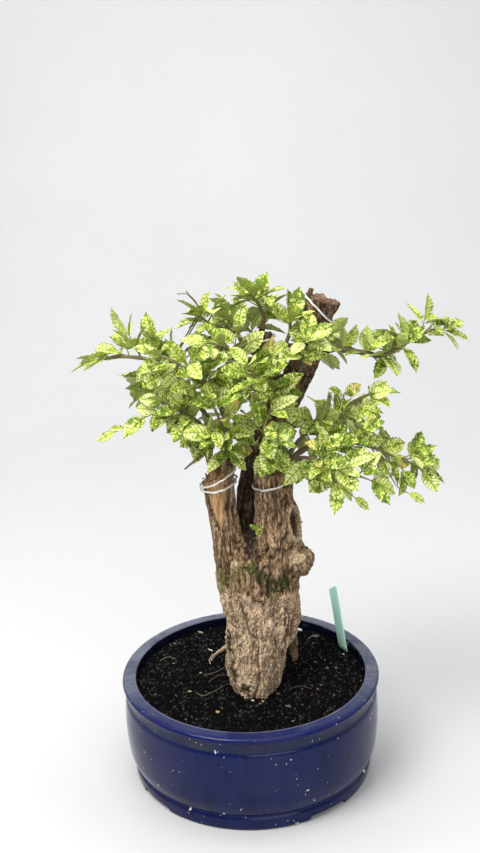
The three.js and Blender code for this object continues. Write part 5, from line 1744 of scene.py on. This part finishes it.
SCRAPS = [  # picture point, length and width in millimetres, turn, paint
    (303.8, 627, 7.5, 5.0, 0.4, (0.88, 0.88, 0.86)), (343.5, 655, 2.6, 2.0, 0, (0.85, 0.84, 0.80)),
    (197, 630, 7.0, 3.2, -0.3, (0.26, 0.34, 0.15)), (218, 713, 5.5, 4.0, 0.9, (0.55, 0.32, 0.09)),
    (190, 692.3, 5.0, 2.6, 0.2, (0.52, 0.44, 0.22)), (211, 651, 7.0, 1.8, -0.5, (0.70, 0.76, 0.60)),
    (201, 673.7, 3.4, 2.4, 0, (0.42, 0.33, 0.20)), (288.4, 707, 6.0, 1.8, 0.2, (0.34, 0.31, 0.24)),
    (253, 701.5, 3.6, 2.4, 0.5, (0.80, 0.74, 0.58)), (263, 702, 2.6, 2.0, 0.1, (0.70, 0.60, 0.42)),
    (293, 722, 3.4, 2.0, 0.8, (0.22, 0.30, 0.14)), (316, 637, 7.0, 1.3, 0.15, (0.48, 0.44, 0.34)),
    (174, 664, 3.0, 1.8, 0.7, (0.30, 0.27, 0.22)), (318, 690, 3.6, 2.0, -0.6, (0.22, 0.09, 0.05)),
    (240, 712, 3.0, 1.6, 0.9, (0.13, 0.17, 0.07)), (166, 640, 4.4, 1.4, -0.2, (0.36, 0.36, 0.30)),
    (327, 668, 3.4, 1.4, 0.6, (0.42, 0.36, 0.26)), (186, 720, 2.6, 1.8, 0, (0.20, 0.17, 0.12)),
]
scrap_points, scrap_faces, scrap_paint = [], [], []
ball = bmesh.new()
bmesh.ops.create_icosphere(ball, subdivisions=2, radius=1.0)
for k, (u, v, long, wide, turn, paint) in enumerate(SCRAPS):
    seat = on_soil(u, v) + Vector((0, 0, 0.55 + 0.18 * wide))
    spin = Matrix.Rotation(turn, 3, "Z") @ Matrix.Rotation(0.25, 3, "Y")
    first = len(scrap_points)
    for vertex in ball.verts:
        shape = vertex.co * (1 + 0.5 * noise.noise(vertex.co * 1.4 + Vector((3.1 * k, 0, 0))))
        shape = Vector((shape.x * long / 2, shape.y * wide / 2, shape.z * wide / 4))
        scrap_points.append(at(*(seat + spin @ shape)))
        scrap_paint.append(paint)
    scrap_faces += [tuple(first + vertex.index for vertex in face.verts) for face in ball.faces]
ball.free()
litter, nodes = new_material("dry_litter")
place, own_paint = nodes.here(), nodes.attribute("paint", "Color")
worn_paint = nodes.mixed(patches(place, 900, 0.5, 0.15), own_paint, (0.10, 0.08, 0.06))
nodes.finish(nodes.mixed(0.65, worn_paint, own_paint), 0.85, bumped(fine_grain(place, 1700), 0.3, 0.7))
scrap_mesh = plain_mesh("scraps", scrap_points, scrap_faces, litter)
keep_attribute(scrap_mesh, "paint", scrap_paint)
piece("soil_scraps", scrap_mesh, "soil")

# %% Dead roots on the soil
ROOTLETS = [  # picture points along the root, thickness, paint
    ([(195.7, 693.8), (203.3, 697), (212, 693.5), (218.6, 690), (234, 681.4)], 0.5, (0.24, 0.19, 0.12)),
    ([(204, 676.6), (214.8, 673.7), (226.3, 668)], 0.6, (0.20, 0.15, 0.10)),
    ([(209, 683), (218, 677), (228, 676)], 0.5, (0.15, 0.12, 0.08)),
    ([(308, 640), (314, 636), (321, 636)], 0.4, (0.45, 0.41, 0.32)),
    ([(290, 690), (300, 687), (312, 690)], 0.4, (0.16, 0.12, 0.08)),
    ([(160, 662), (168, 658), (176, 660)], 0.4, (0.30, 0.28, 0.22)),
    ([(213, 655.5), (209.5, 661), (210.5, 665)], 0.9, (0.62, 0.48, 0.34)),
]
ABOVE_SOIL = Vector((0, 0, 1.3))
root_points, root_edges, thickness, root_paint = [], [], [], []
for route, thick, paint in ROOTLETS:
    first, count = len(root_points), 5 * (len(route) - 1)
    root_points += smooth_line([tuple(on_soil(u, v) + ABOVE_SOIL) for u, v in route], count, 0.45)
    root_edges += [(first + i, first + i + 1) for i in range(count)]
    thickness += [thick * (1 - 0.4 * i / count) * MM for i in range(count + 1)]
    root_paint += [tuple(0.65 * part for part in paint)] * (count + 1)
root_plan = plan_of("rootlets_plan", in_frame(root_points), root_edges, thickness=thickness, paint=root_paint)
piece("dead_rootlets", grown(root_plan, stock_tree, sides=5, finish=litter), "soil")

# %% [markdown]
# ## Label
#
# A bare plastic stake, mint green, pushed in near the rim and leaning back, its top cut a little
# aslant. The plate is thin enough for light to spread inside it, which is why it seems to glow. Its
# edges are rounded by a bevel, and its foot is dirty where it meets the soil.

# %% Label
WIDTH, THICKNESS, TOP, FOOT, POINT = 15, 1.1, 67, -30, 16
half = WIDTH / 2
high, low = TOP - 1, TOP - 5  # the top is cut a little aslant
outline = [(0, FOOT), (half, FOOT + POINT), (half, high - 1.5), (half - 1.5, high),
           (-half + 1.5, low + 0.8), (-half, low - 1.2), (-half, FOOT + POINT)]
lean = (Matrix.Rotation(math.radians(-8), 3, "Y") @ Matrix.Rotation(math.radians(-22), 3, "X")
        @ Matrix.Rotation(math.radians(-60), 3, "Z"))
plate = [at(*(lean @ Vector((x, side * THICKNESS / 2, z)) + Vector((*LABEL_SPOT, SOIL_LEVEL))))
         for side in (-1, 1) for x, z in outline]
count = len(outline)
plate_faces = [tuple(range(count)), tuple(range(2 * count - 1, count - 1, -1))]
plate_faces += [(i, count + i, count + (i + 1) % count, (i + 1) % count) for i in range(count)]
mint, nodes = new_material("mint_plastic")
place = nodes.here()
grime = nodes.split(place)[2].span(0.099, 0.0955) * patches(place, 320, 0.45, 0.15)
faded = nodes.mixed(patches(place, 55, 0.5, 0.2), (0.45, 0.97, 0.66), (0.54, 0.99, 0.74))
nodes.finish(nodes.mixed(grime, faded, (0.05, 0.05, 0.035)),
             nodes.cloud(place, 240).span(0.3, 0.7, 0.38, 0.55), bumped(fine_grain(place, 1100), 0.12, 0.35),
             Subsurface_Weight=0.75, Subsurface_Radius=(1.0, 1.0, 1.0), Subsurface_Scale=0.004)
stake = plain_object("stake", plate, plate_faces, mint)
outward_faces(stake.data)
soften = stake.modifiers.new("soften", "BEVEL")
soften.width, soften.segments = 0.28 * MM, 2
stake_mesh = baked(stake)
creased(stake_mesh, 40)
piece("plant_label", stake_mesh, "label", "label")

# %% Remove the blade patterns and grains
for collection in (patterns, grains):
    for item in list(collection.objects):
        bpy.data.objects.remove(item)
    bpy.data.collections.remove(collection)
